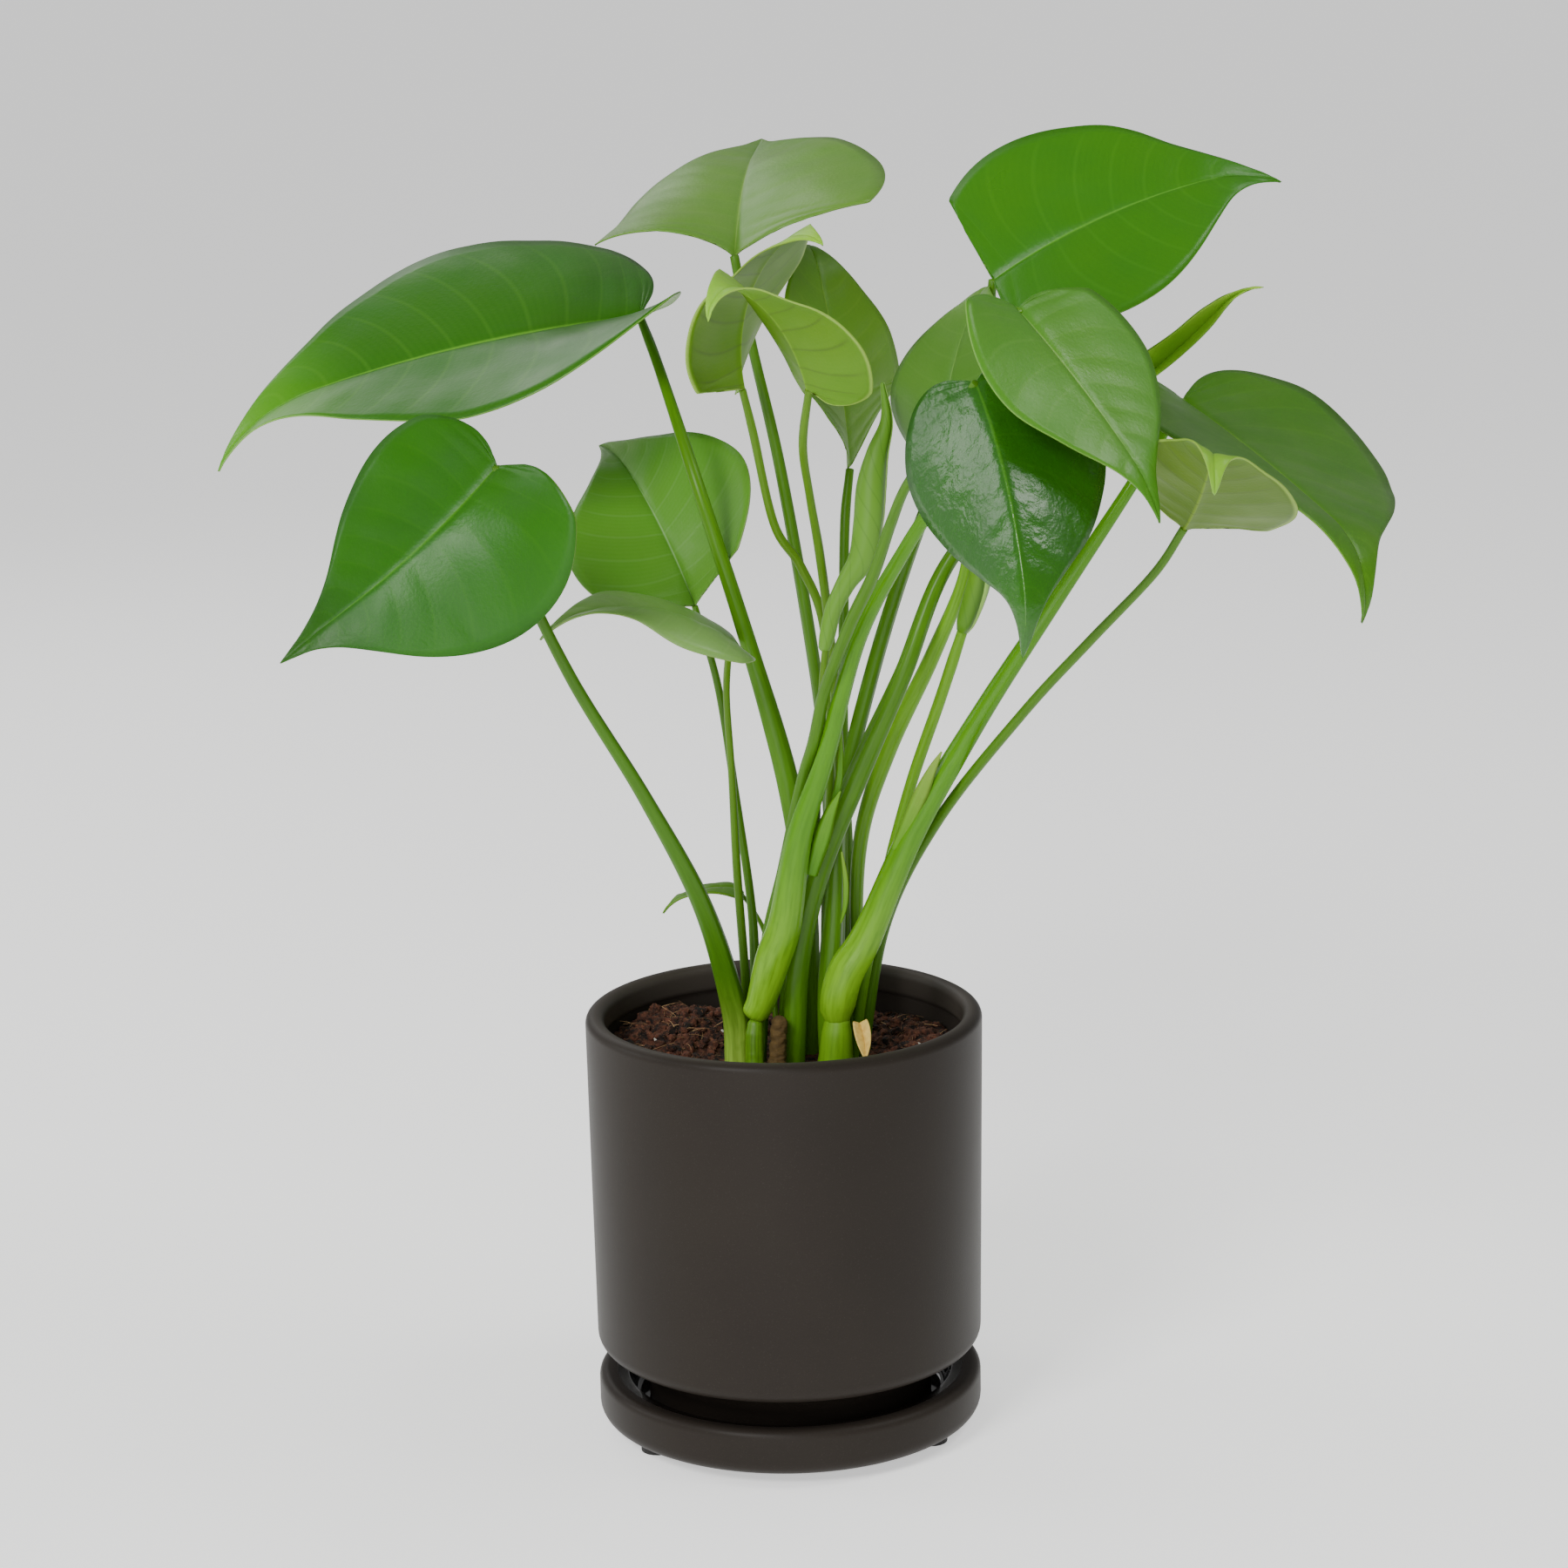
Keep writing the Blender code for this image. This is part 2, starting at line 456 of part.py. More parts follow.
def build_saucer():
    """The saucer: a turned dish with a rounded rim, and the three pads it stands on."""
    inner = SAUCER_RADIUS - SAUCER_RIM_WIDTH
    round_over = SAUCER_RIM_WIDTH / 2
    profile = [(0.0, SAUCER_FLOOR_Z), (inner - SAUCER_WALL_SLOPE - SAUCER_FILLET_WIDTH, SAUCER_FLOOR_Z),
               (inner - SAUCER_WALL_SLOPE, SAUCER_FLOOR_Z + SAUCER_FILLET_HEIGHT)]
    profile += arc((inner + round_over, SAUCER_RIM_Z - round_over), round_over, 175, 0, 7)
    profile += arc((SAUCER_RADIUS - SAUCER_CORNER, SAUCER_BASE_Z + SAUCER_CORNER), SAUCER_CORNER, 0, -90, 5)
    profile += [(0.0, SAUCER_BASE_Z)]
    turned("saucer", profile, "saucer", TURN_STEPS, closed=False)
    for name, angle in PAD_ANGLES.items():
        turn = math.radians(angle)
        place = (PAD_CIRCLE * math.cos(turn), PAD_CIRCLE * math.sin(turn), PAD_HEIGHT / 2)
        bpy.ops.mesh.primitive_cylinder_add(vertices=20, radius=PAD_RADIUS, depth=PAD_HEIGHT,
                                            location=place)
        pad = bpy.context.active_object
        mesh = pad.data
        bpy.data.objects.remove(pad)
        add_object(name, mesh, "pad", smooth=False).location = place


def wall_radius(z):
    """The pot's outer radius at a height."""
    return POT_RADIUS - POT_TAPER * (POT_RIM_Z - z) / (POT_RIM_Z - POT_BODY_Z)


def build_pot():
    """The pot: one turned shell with a rounded rim band, a foot ring and a drain hole."""
    floor_z = POT_BODY_Z + POT_FLOOR
    band_z = POT_RIM_Z - RIM_BAND_HEIGHT
    band_r = POT_RADIUS - RIM_BAND_WIDTH
    low_r = wall_radius(POT_BODY_Z)
    foot_in = FOOT_RADIUS - FOOT_WIDTH
    round_z = POT_RIM_Z - RIM_ROUND
    profile = arc((POT_RADIUS - RIM_ROUND, round_z), RIM_ROUND, 90, 0, 5)
    profile += arc((low_r - POT_CORNER, POT_BODY_Z + POT_CORNER), POT_CORNER, 0, -90, 5)
    profile += [(FOOT_RADIUS, POT_BODY_Z - FOOT_CHAMFER), (FOOT_RADIUS, POT_BASE_Z), (foot_in, POT_BASE_Z),
                (foot_in, POT_BODY_Z), (DRAIN_RADIUS, POT_BODY_Z), (DRAIN_RADIUS, floor_z)]
    inner_low = wall_radius(floor_z) - POT_WALL
    profile += arc((inner_low - POT_CORNER, floor_z + POT_CORNER), POT_CORNER, -90, 0, 4)
    step = RIM_BAND_WIDTH - POT_WALL
    profile += [(wall_radius(band_z) - POT_WALL, band_z - step), (band_r, band_z)]
    profile += arc((band_r + RIM_ROUND, round_z), RIM_ROUND, 180, 110, 4)
    turned("pot", profile, "pot", TURN_STEPS, closed=True)


def soil_height(x, y):
    """The soil's surface above its own level."""
    heap = 0.0
    for centre_x, centre_y, height, spread in SOIL_HEAPS:
        away = ((x - centre_x) ** 2 + (y - centre_y) ** 2) / (2 * spread ** 2)
        heap += height * math.exp(-away)
    return heap


def build_soil():
    """The soil: it fills the pot to its level, with a heap to each side of the stems."""
    inscribed = math.cos(math.pi / TURN_STEPS)
    floor_z = POT_BODY_Z + POT_FLOOR + GAP
    top_r = (wall_radius(SOIL_Z) - POT_WALL) * inscribed - GAP
    low_r = (wall_radius(floor_z) - POT_WALL) * inscribed - GAP
    profile = [(top_r * share, SOIL_Z) for share in np.linspace(0, 1, 9)]
    profile += [(low_r, floor_z + POT_CORNER), (low_r - POT_CORNER, floor_z), (0.0, floor_z)]
    rough = turned("soil_turned", profile, "soil", SOIL_STEPS, closed=False)
    graph = bpy.context.evaluated_depsgraph_get()
    mesh = bpy.data.meshes.new_from_object(rough.evaluated_get(graph))
    bpy.data.objects.remove(rough)
    for vertex in mesh.vertices:
        if vertex.co.z > SOIL_Z - GAP:
            x, y, _ = vertex.co
            stems_x, stems_y = STEMS_CENTRE
            away = math.hypot(x / PLANT_SCALE - stems_x, y / PLANT_SCALE - stems_y)
            away -= STEMS_RADIUS * STALK_THICKNESS
            vertex.co.z += soil_height(x, y) * min(max(away / STEMS_FADE, 0.0), 1.0)
    add_object("soil", mesh, "soil")


def build_plant():
    """Every leaf with its stalk, the rolled leaves, and the short pieces at the soil."""
    leaves = {leaf.name: leaf for leaf in LEAVES}
    for leaf in LEAVES:
        kind = "young_leaf" if leaf.name.startswith("young") else "leaf"
        blade(leaf, "leaf_" + leaf.name, kind)
    for name, axis in ROLLED_LEAVES.items():
        tube("leaf_" + name, plant_route(axis), "young_leaf", 9)
    for stalk in STALKS:
        route = plant_route(stalk.route)
        if stalk.leaf in leaves:
            route.append(stalk_end(stalk, leaves[stalk.leaf]))
        else:
            foot, above = (np.array(p[:3]) for p in plant_route(ROLLED_LEAVES[stalk.leaf])[:2])
            way = (above - foot) / np.linalg.norm(above - foot)
            radius = stalk.end_radius * PLANT_SCALE * STALK_THICKNESS
            route.append((*(foot - way * (GAP + radius)), radius))
        tube("stalk_" + stalk.leaf, planted(route), "stalk", STALK_POINTS)
    for name, route in SOIL_STUBS.items():
        tube(name, planted(plant_route(route)), "root" if name.startswith("root") else "stem", 4)
    blade(DRIED_SHEATH, "dried_sheath", "dried", SHEATH_ROWS, SHEATH_HALF_COLUMNS)


for old in list(bpy.data.objects):
    bpy.data.objects.remove(old)
bpy.context.scene.collection.children.link(bpy.data.collections.new("potted_monstera"))
build_saucer()
build_pot()
build_soil()
build_plant()
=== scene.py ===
"""Looks of the potted monstera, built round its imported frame: metres, +Z up, seen from -Y."""
import math
import random

import bmesh
import bpy
import numpy as np
from mathutils import Matrix, Vector, noise


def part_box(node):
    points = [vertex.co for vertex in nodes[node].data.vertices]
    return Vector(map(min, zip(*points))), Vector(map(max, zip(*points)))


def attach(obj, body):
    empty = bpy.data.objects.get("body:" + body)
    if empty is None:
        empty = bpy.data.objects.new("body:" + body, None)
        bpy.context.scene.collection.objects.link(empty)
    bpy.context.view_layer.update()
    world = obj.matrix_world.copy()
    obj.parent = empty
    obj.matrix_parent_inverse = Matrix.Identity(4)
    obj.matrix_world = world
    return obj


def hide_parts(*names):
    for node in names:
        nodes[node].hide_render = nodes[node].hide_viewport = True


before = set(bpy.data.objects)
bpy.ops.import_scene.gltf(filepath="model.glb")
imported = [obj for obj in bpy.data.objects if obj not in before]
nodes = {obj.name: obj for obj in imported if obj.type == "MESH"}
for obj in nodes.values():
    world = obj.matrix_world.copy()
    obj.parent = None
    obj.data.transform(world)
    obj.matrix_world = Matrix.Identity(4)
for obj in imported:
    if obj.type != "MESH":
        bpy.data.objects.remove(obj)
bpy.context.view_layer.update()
bpy.ops.object.select_all(action="DESELECT")

# ---------------------------------------------------------------- studio
# A pale painted floor that runs out of sight, lit by one large soft lamp from the upper left and by
# weaker ones from the front, the left, the right and behind. The camera stands a little over the
# plant and looks down on it.


def linear(code):
    """An sRGB hex colour as linear red, green, blue and alpha."""
    parts = [int(code[i:i + 2], 16) / 255 for i in (1, 3, 5)]
    return [c / 12.92 if c <= 0.04045 else ((c + 0.055) / 1.055) ** 2.4 for c in parts] + [1.0]


def add_node(tree, kind, inputs=(), **settings):
    """Add a shader node, set its properties, then fill or link its inputs by name or number."""
    added = tree.nodes.new(kind)
    for key, value in settings.items():
        setattr(added, key, value)
    for key, value in dict(inputs).items():
        if isinstance(value, bpy.types.NodeSocket):
            tree.links.new(value, added.inputs[key])
        else:
            added.inputs[key].default_value = value
    return added


def new_material(name):
    """An empty node material: its tree and its Principled shader."""
    material = bpy.data.materials.new(name)
    material.use_nodes = True
    return material, material.node_tree, material.node_tree.nodes["Principled BSDF"]


# Matt emulsion paint on the floor: white, with no shine to speak of
floor_paint, tree, shader = new_material("matt_white_floor_paint")
shader.inputs["Base Color"].default_value = linear("#F4F4F2")
shader.inputs["Roughness"].default_value = 0.9
shader.inputs["Emission Color"].default_value = linear("#FFFFFF")
shader.inputs["Emission Strength"].default_value = 0.70
bpy.ops.mesh.primitive_plane_add(size=600.0)
floor = bpy.context.object
floor.name = "studio_floor"
floor.data.materials.append(floor_paint)

world = bpy.data.worlds.new("white_studio")
world.use_nodes = True
world.node_tree.nodes["Background"].inputs["Color"].default_value = linear("#FFFFFF")
world.node_tree.nodes["Background"].inputs["Strength"].default_value = 0.32
bpy.context.scene.world = world

LIT_SPOT = Vector((0, 0, 0.25))
# Each lamp's place, width and power in watts
for place, size, power in (
    ((-0.75, -1.25, 1.25), 0.55, 22.0),
    ((-0.20, -1.70, 0.50), 0.8, 8.0),
    ((-1.90, 0.35, 1.00), 0.8, 10.0),
    ((0.95, -0.15, 1.50), 0.6, 9.0),
    ((-0.70, 1.30, 1.10), 0.9, 4.0),
):
    bpy.ops.object.light_add(type="AREA", location=place)
    lamp = bpy.context.object
    lamp.data.size = size
    lamp.data.energy = power
    lamp.rotation_euler = (LIT_SPOT - Vector(place)).to_track_quat("-Z", "Y").to_euler()

EYE = Vector((0.0, -1.160, 0.4725))
LOOK_DOWN = math.radians(12.68)
LOOK_RIGHT = 0.0013
LEAN = -0.0188
forward = Vector((math.sin(LOOK_RIGHT) * math.cos(LOOK_DOWN),
                  math.cos(LOOK_RIGHT) * math.cos(LOOK_DOWN), -math.sin(LOOK_DOWN)))
level = forward.cross(Vector((0, 0, 1))).normalized()
upward = level.cross(forward)
right = level * math.cos(LEAN) + upward * math.sin(LEAN)
up = upward * math.cos(LEAN) - level * math.sin(LEAN)
bpy.ops.object.camera_add(location=EYE)
camera = bpy.context.object
camera.matrix_world = Matrix.Translation(EYE) @ Matrix((right, up, -forward)).transposed().to_4x4()
camera.data.lens = 86.48
camera.data.sensor_width = 36.0
camera.data.clip_end = 1000.0
bpy.context.scene.camera = camera

# ---------------------------------------------------------------- pads
# Three small discs of black moulded rubber under the saucer. They are the frame's own solids.

rubber, tree, shader = new_material("black_moulded_rubber")
# Fine moulding grain of about half a millimetre on a dull black
grain = add_node(tree, "ShaderNodeTexNoise", {"Scale": 2000.0, "Detail": 2.0})
bump = add_node(tree, "ShaderNodeBump", {"Height": grain.outputs["Fac"], "Strength": 0.2, "Distance": 0.0002})
tree.links.new(bump.outputs["Normal"], shader.inputs["Normal"])
shader.inputs["Base Color"].default_value = linear("#171513")
shader.inputs["Roughness"].default_value = 0.7
for name in ("pad_left", "pad_right", "pad_back"):
    for slot in nodes[name].material_slots:
        slot.material = rubber

# ---------------------------------------------------------------- saucer
# A low dish of slip-cast stoneware with a wide rounded rim. Its outside has a matt dark glaze, its
# inside a glossy black one that ends in a bright bead at the inner lip. It is cast in one piece.


def select_where(obj, mode, test):
    """In edit mode, select just the vertices, edges or faces that pass the test."""
    bpy.ops.mesh.select_mode(type=mode)
    bpy.ops.mesh.select_all(action="DESELECT")
    shape = bmesh.from_edit_mesh(obj.data)
    parts = {"VERT": shape.verts, "EDGE": shape.edges, "FACE": shape.faces}[mode]
    for part in parts:
        if test(part):
            part.select_set(True)
    shape.select_flush_mode()
    bmesh.update_edit_mesh(obj.data)


def ring_at(radius, height, reach=0.0002):
    """A test for edges that lie on the circle of this radius and height about the pot's axis."""
    def test(edge):
        return all(abs(math.hypot(v.co.x, v.co.y) - radius) < reach and abs(v.co.z - height) < reach
                   for v in edge.verts)
    return test


def place_in_mesh(obj):
    """Apply the object's place, so its origin is the world's, as a frame node's is."""
    bpy.ops.object.select_all(action="DESELECT")
    obj.select_set(True)
    bpy.context.view_layer.objects.active = obj
    bpy.ops.object.transform_apply(location=True, rotation=True, scale=True)


def hand_over(obj, name, replaced, slot, smooth=True):
    """Name a finished piece, put it on the body and hide the frame nodes it stands for."""
    obj.name = name
    obj.data.name = name
    if smooth:
        obj.data.shade_smooth()
    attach(obj, "root")
    if replaced:
        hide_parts(*replaced)


# Matt stoneware glaze: a warm brown black with a soft broad sheen, clouded a little by the kiln and
# pitted in specks of about 0.4 mm. Over the pot's rim and 30 mm down the inside it is painted paler, a
# painted highlight for the light on the rim and the inner wall.
matt_glaze, tree, shader = new_material("matt_dark_stoneware_glaze")
place = add_node(tree, "ShaderNodeTexCoord")
clouds = add_node(tree, "ShaderNodeTexNoise", {"Vector": place.outputs["Object"], "Scale": 22.0, "Detail": 3.0})
specks = add_node(tree, "ShaderNodeTexNoise", {"Vector": place.outputs["Object"], "Scale": 2400.0, "Detail": 3.0})
tone = add_node(tree, "ShaderNodeMix", {0: clouds.outputs["Fac"], 6: linear("#231E1A"), 7: linear("#2B2621")},
                data_type="RGBA")
fleck = add_node(tree, "ShaderNodeMapRange", {"Value": specks.outputs["Fac"], "From Min": 0.60, "From Max": 0.72,
                                              "To Min": 0.0, "To Max": 0.35})
colour = add_node(tree, "ShaderNodeMix", {0: fleck.outputs["Result"], 6: tone.outputs[2], 7: linear("#3A3530")},
                  data_type="RGBA")
rim_radius, rim_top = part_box("pot")[1][0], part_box("pot")[1][2]
parts = add_node(tree, "ShaderNodeSeparateXYZ", {"Vector": place.outputs["Object"]})
level = add_node(tree, "ShaderNodeCombineXYZ", {"X": parts.outputs["X"], "Y": parts.outputs["Y"]})
reach = add_node(tree, "ShaderNodeVectorMath", {0: level.outputs["Vector"]}, operation="LENGTH")
# Painted highlight: the rim top and the inside down to 30 to 40 mm below it are mixed towards a paler brown, standing
# in for light there
painted_light_reach = add_node(tree, "ShaderNodeMapRange", {"Value": reach.outputs["Value"], "From Min": rim_radius - 0.0035,
                                               "From Max": rim_radius - 0.0008, "To Min": 1.0, "To Max": 0.0})
upper = add_node(tree, "ShaderNodeMapRange", {"Value": parts.outputs["Z"], "From Min": rim_top - 0.040,
                                              "From Max": rim_top - 0.030})
thin = add_node(tree, "ShaderNodeMath", {0: painted_light_reach.outputs["Result"], 1: upper.outputs["Result"]},
                operation="MULTIPLY")
colour = add_node(tree, "ShaderNodeMix", {0: thin.outputs[0], 6: colour.outputs[2], 7: linear("#423C37")},
                  data_type="RGBA")
dull = add_node(tree, "ShaderNodeMapRange", {"Value": clouds.outputs["Fac"], "To Min": 0.40, "To Max": 0.50})
bump = add_node(tree, "ShaderNodeBump", {"Height": specks.outputs["Fac"], "Strength": 0.25, "Distance": 0.0001})
tree.links.new(colour.outputs[2], shader.inputs["Base Color"])
tree.links.new(dull.outputs["Result"], shader.inputs["Roughness"])
tree.links.new(bump.outputs["Normal"], shader.inputs["Normal"])
shader.inputs["Specular IOR Level"].default_value = 0.13

# Gloss glaze: poured into the dish after the matt coat, a black glass with a faint ripple
gloss_glaze, tree, shader = new_material("gloss_black_glaze")
place = add_node(tree, "ShaderNodeTexCoord")
ripple = add_node(tree, "ShaderNodeTexNoise", {"Vector": place.outputs["Object"], "Scale": 120.0, "Detail": 1.0})
bump = add_node(tree, "ShaderNodeBump", {"Height": ripple.outputs["Fac"], "Strength": 0.15, "Distance": 0.0004})
tree.links.new(bump.outputs["Normal"], shader.inputs["Normal"])
shader.inputs["Base Color"].default_value = linear("#120F0D")
shader.inputs["Roughness"].default_value = 0.06

SAUCER_BEAD = 0.0031
SAUCER_BEAD_DROP = 0.0005
SAUCER_SHOULDER = 0.0035
SAUCER_LIP_DROP = 0.0012
SAUCER_WALL_LEAN = 0.0012
SAUCER_FLOOR = 0.0045
SAUCER_STEPS = (0.012, 0.020)
SAUCER_CORNER = 0.0050
SAUCER_RIM_ROUND = 0.0028
SAUCER_BEAD_ROUND = 0.0012
SAUCER_LIP_ROUND = 0.0007
SAUCER_FLOOR_ROUND = 0.0025
low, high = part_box("saucer")
saucer_radius, saucer_low, saucer_high = high[0], low[2], high[2]
crest = saucer_radius - SAUCER_BEAD
glaze_edge = crest - SAUCER_BEAD
inner_lip = glaze_edge - SAUCER_SHOULDER
lip_z = saucer_high - SAUCER_LIP_DROP
bpy.ops.mesh.primitive_cylinder_add(vertices=160, radius=saucer_radius, depth=saucer_high - saucer_low,
                                    location=(0, 0, (saucer_high + saucer_low) / 2))
saucer = bpy.context.object
place_in_mesh(saucer)
bpy.ops.object.mode_set(mode="EDIT")
select_where(saucer, "FACE", lambda f: f.normal.z > 0.9)
bpy.ops.mesh.inset(thickness=SAUCER_BEAD)
bpy.ops.mesh.inset(thickness=SAUCER_BEAD)
bpy.ops.transform.translate(value=(0, 0, -SAUCER_BEAD_DROP))
bpy.ops.mesh.inset(thickness=SAUCER_SHOULDER)
bpy.ops.transform.translate(value=(0, 0, lip_z - saucer_high + SAUCER_BEAD_DROP))
bpy.ops.mesh.extrude_region_move(TRANSFORM_OT_translate={"value": (0, 0, saucer_low + SAUCER_FLOOR - lip_z)})
floor_radius = inner_lip - SAUCER_WALL_LEAN
narrow = floor_radius / inner_lip
bpy.ops.transform.resize(value=(narrow, narrow, 1), center_override=(0, 0, 0))
# The floor is inset in two flat rings, where a jiggered dish's is stepped
for step in SAUCER_STEPS:
    bpy.ops.mesh.inset(thickness=step)
floor_z = saucer_low + SAUCER_FLOOR
select_where(saucer, "EDGE", ring_at(saucer_radius, saucer_high))
bpy.ops.mesh.bevel(offset=SAUCER_RIM_ROUND, segments=8, profile=0.5)
select_where(saucer, "EDGE", ring_at(glaze_edge, saucer_high - SAUCER_BEAD_DROP))
bpy.ops.mesh.bevel(offset=SAUCER_BEAD_ROUND, segments=3, profile=0.5)
select_where(saucer, "EDGE", ring_at(inner_lip, lip_z))
bpy.ops.mesh.bevel(offset=SAUCER_LIP_ROUND, segments=4, profile=0.5)
select_where(saucer, "EDGE", ring_at(saucer_radius, saucer_low))
bpy.ops.mesh.bevel(offset=SAUCER_CORNER, segments=8, profile=0.5)
select_where(saucer, "EDGE", ring_at(floor_radius, floor_z))
bpy.ops.mesh.bevel(offset=SAUCER_FLOOR_ROUND, segments=5, profile=0.5)
bpy.ops.object.mode_set(mode="OBJECT")
saucer.data.materials.append(matt_glaze)
saucer.data.materials.append(gloss_glaze)
# The gloss covers the inside up to the bead, and nothing under the dish
for face in saucer.data.polygons:
    reach = math.hypot(face.center.x, face.center.y)
    face.material_index = 1 if reach < glaze_edge + 0.0003 and face.center.z > saucer_low + 0.002 else 0
hand_over(saucer, "saucer_dish", ("saucer",), "saucer")

# ---------------------------------------------------------------- pot
# A straight cylinder of the same stoneware, open at the top, with a soft rolled rim that stands in a
# little over the wall, a small rounded foot corner and a recessed foot ring with a drain hole.

POT_TAPER = 0.0012
POT_WALL = 0.0045
POT_CORNER = 0.0050
RIM_BAND_WIDTH = 0.0062
RIM_BAND_HEIGHT = 0.0080
FOOT_INSET = 0.0175
FOOT_WIDTH = 0.0050
FOOT_HEIGHT = 0.0190
POT_FLOOR = 0.0050
DRAIN_RADIUS = 0.0060
RIM_ROUND = 0.0030
EDGE_ROUND = 0.0010
low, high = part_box("pot")
pot_radius, pot_low, rim_z = high[0], low[2], high[2]
body_z = pot_low + FOOT_HEIGHT
bpy.ops.mesh.primitive_cylinder_add(vertices=192, radius=pot_radius, depth=rim_z - body_z,
                                    location=(0, 0, (rim_z + body_z) / 2))
pot = bpy.context.object
place_in_mesh(pot)
bpy.ops.object.mode_set(mode="EDIT")
select_where(pot, "VERT", lambda v: v.co.z < body_z + 0.001)
narrow = (pot_radius - POT_TAPER) / pot_radius
bpy.ops.transform.resize(value=(narrow, narrow, 1), center_override=(0, 0, 0))
# The mouth: the rolled band, the wall set back under it, and the inside down to the floor
band_radius = pot_radius - RIM_BAND_WIDTH
wall_inner = pot_radius - POT_WALL
select_where(pot, "FACE", lambda f: f.normal.z > 0.9)
bpy.ops.mesh.inset(thickness=RIM_BAND_WIDTH)
bpy.ops.mesh.extrude_region_move(TRANSFORM_OT_translate={"value": (0, 0, -RIM_BAND_HEIGHT)})
bpy.ops.mesh.extrude_region_move(TRANSFORM_OT_translate={"value": (0, 0, POT_WALL - RIM_BAND_WIDTH)})
widen = wall_inner / band_radius
bpy.ops.transform.resize(value=(widen, widen, 1), center_override=(0, 0, 0))
inner_floor = body_z + POT_FLOOR
step_z = rim_z - RIM_BAND_HEIGHT + POT_WALL - RIM_BAND_WIDTH
bpy.ops.mesh.extrude_region_move(TRANSFORM_OT_translate={"value": (0, 0, inner_floor - step_z)})
narrow = (wall_inner - POT_TAPER) / wall_inner
bpy.ops.transform.resize(value=(narrow, narrow, 1), center_override=(0, 0, 0))
bpy.ops.mesh.inset(thickness=wall_inner - POT_TAPER - DRAIN_RADIUS)
# The foot: a ring that stands in the saucer, hollow inside
foot_radius = pot_radius - FOOT_INSET
foot_inner = foot_radius - FOOT_WIDTH
select_where(pot, "FACE", lambda f: f.normal.z < -0.9)
bpy.ops.mesh.inset(thickness=pot_radius - POT_TAPER - foot_radius)
bpy.ops.mesh.extrude_region_move(TRANSFORM_OT_translate={"value": (0, 0, -FOOT_HEIGHT)})
bpy.ops.mesh.inset(thickness=FOOT_WIDTH)
bpy.ops.mesh.extrude_region_move(TRANSFORM_OT_translate={"value": (0, 0, FOOT_HEIGHT)})
bpy.ops.mesh.inset(thickness=foot_inner - DRAIN_RADIUS)
# The drain hole joins the two small faces that are left in the middle
select_where(pot, "FACE", lambda f: len(f.verts) > 4 and abs(f.normal.z) > 0.9)
bpy.ops.mesh.bridge_edge_loops()
select_where(pot, "EDGE", lambda e: ring_at(pot_radius, rim_z)(e) or ring_at(band_radius, rim_z)(e))
bpy.ops.mesh.bevel(offset=RIM_ROUND, segments=8, profile=0.5)
select_where(pot, "EDGE", ring_at(band_radius, rim_z - RIM_BAND_HEIGHT))
bpy.ops.mesh.bevel(offset=EDGE_ROUND, segments=3, profile=0.5)
select_where(pot, "EDGE", ring_at(pot_radius - POT_TAPER, body_z))
bpy.ops.mesh.bevel(offset=POT_CORNER, segments=8, profile=0.5)
select_where(pot, "EDGE", ring_at(foot_radius, pot_low))
bpy.ops.mesh.bevel(offset=EDGE_ROUND, segments=3, profile=0.5)
bpy.ops.object.mode_set(mode="OBJECT")
pot.data.materials.append(matt_glaze)
hand_over(pot, "cylinder_pot", ("pot",), "pot")

# ---------------------------------------------------------------- soil
# Coir and peat potting mix, loose and still damp: a red-brown crumb with fibres in it, heaped a
# little to the left where it was filled in, and level round the stems.

SOIL_BELOW_RIM = 0.0173
SOIL_DEPTH = 0.030
SOIL_TAPER = 0.0012
SOIL_EDGE = 0.9
STEMS_REACH = 0.026
CLEARANCE = 0.0003
soil_z = rim_z - SOIL_BELOW_RIM
plant_z = soil_z + CLEARANCE
# Each heap's place, height and spread
SOIL_HEAPS = ((-0.036, 0.026, 0.0085, 0.017), (0.040, 0.020, 0.0045, 0.016),
              (0.030, -0.036, 0.0020, 0.014), (-0.030, -0.034, 0.0020, 0.012))
soil_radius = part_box("soil")[1][0] - 0.0002


def soil_top(x, y):
    """The height of the soil's surface: heaps and crumbs, and nearly level round the stems."""
    heap = sum(h * math.exp(-((x - hx) ** 2 + (y - hy) ** 2) / (2 * spread ** 2))
               for hx, hy, h, spread in SOIL_HEAPS)
    past_stems = min(max((math.hypot(x - 0.006, y - 0.003) - STEMS_REACH) / 0.012, 0.0), 1.0)
    lumps = 0.0016 * noise.fractal(Vector((x, y, 0)) * 170, 1.0, 2.1, 3)
    crumbs = 0.0011 * noise.fractal(Vector((x, y, 3)) * 520, 0.8, 2.0, 3)
    return soil_z + heap * past_stems + (lumps + crumbs) * (0.35 + 0.65 * past_stems) - 0.0004


def shaped_grid(columns, rows, place):
    """A grid primitive whose points are moved to place(across, along), both 0 to 1, and merged."""
    bpy.ops.mesh.primitive_grid_add(x_subdivisions=columns, y_subdivisions=rows, size=2.0)
    shape = bpy.context.object
    flat = np.empty(len(shape.data.vertices) * 3)
    shape.data.vertices.foreach_get("co", flat)
    flat = flat.reshape(-1, 3)
    placed = np.array([place((x + 1) / 2, (y + 1) / 2) for x, y, _ in flat])
    shape.data.vertices.foreach_set("co", placed.ravel())
    bpy.ops.object.mode_set(mode="EDIT")
    bpy.ops.mesh.select_all(action="SELECT")
    bpy.ops.mesh.remove_doubles(threshold=0.000001)
    bpy.ops.object.mode_set(mode="OBJECT")
    return shape


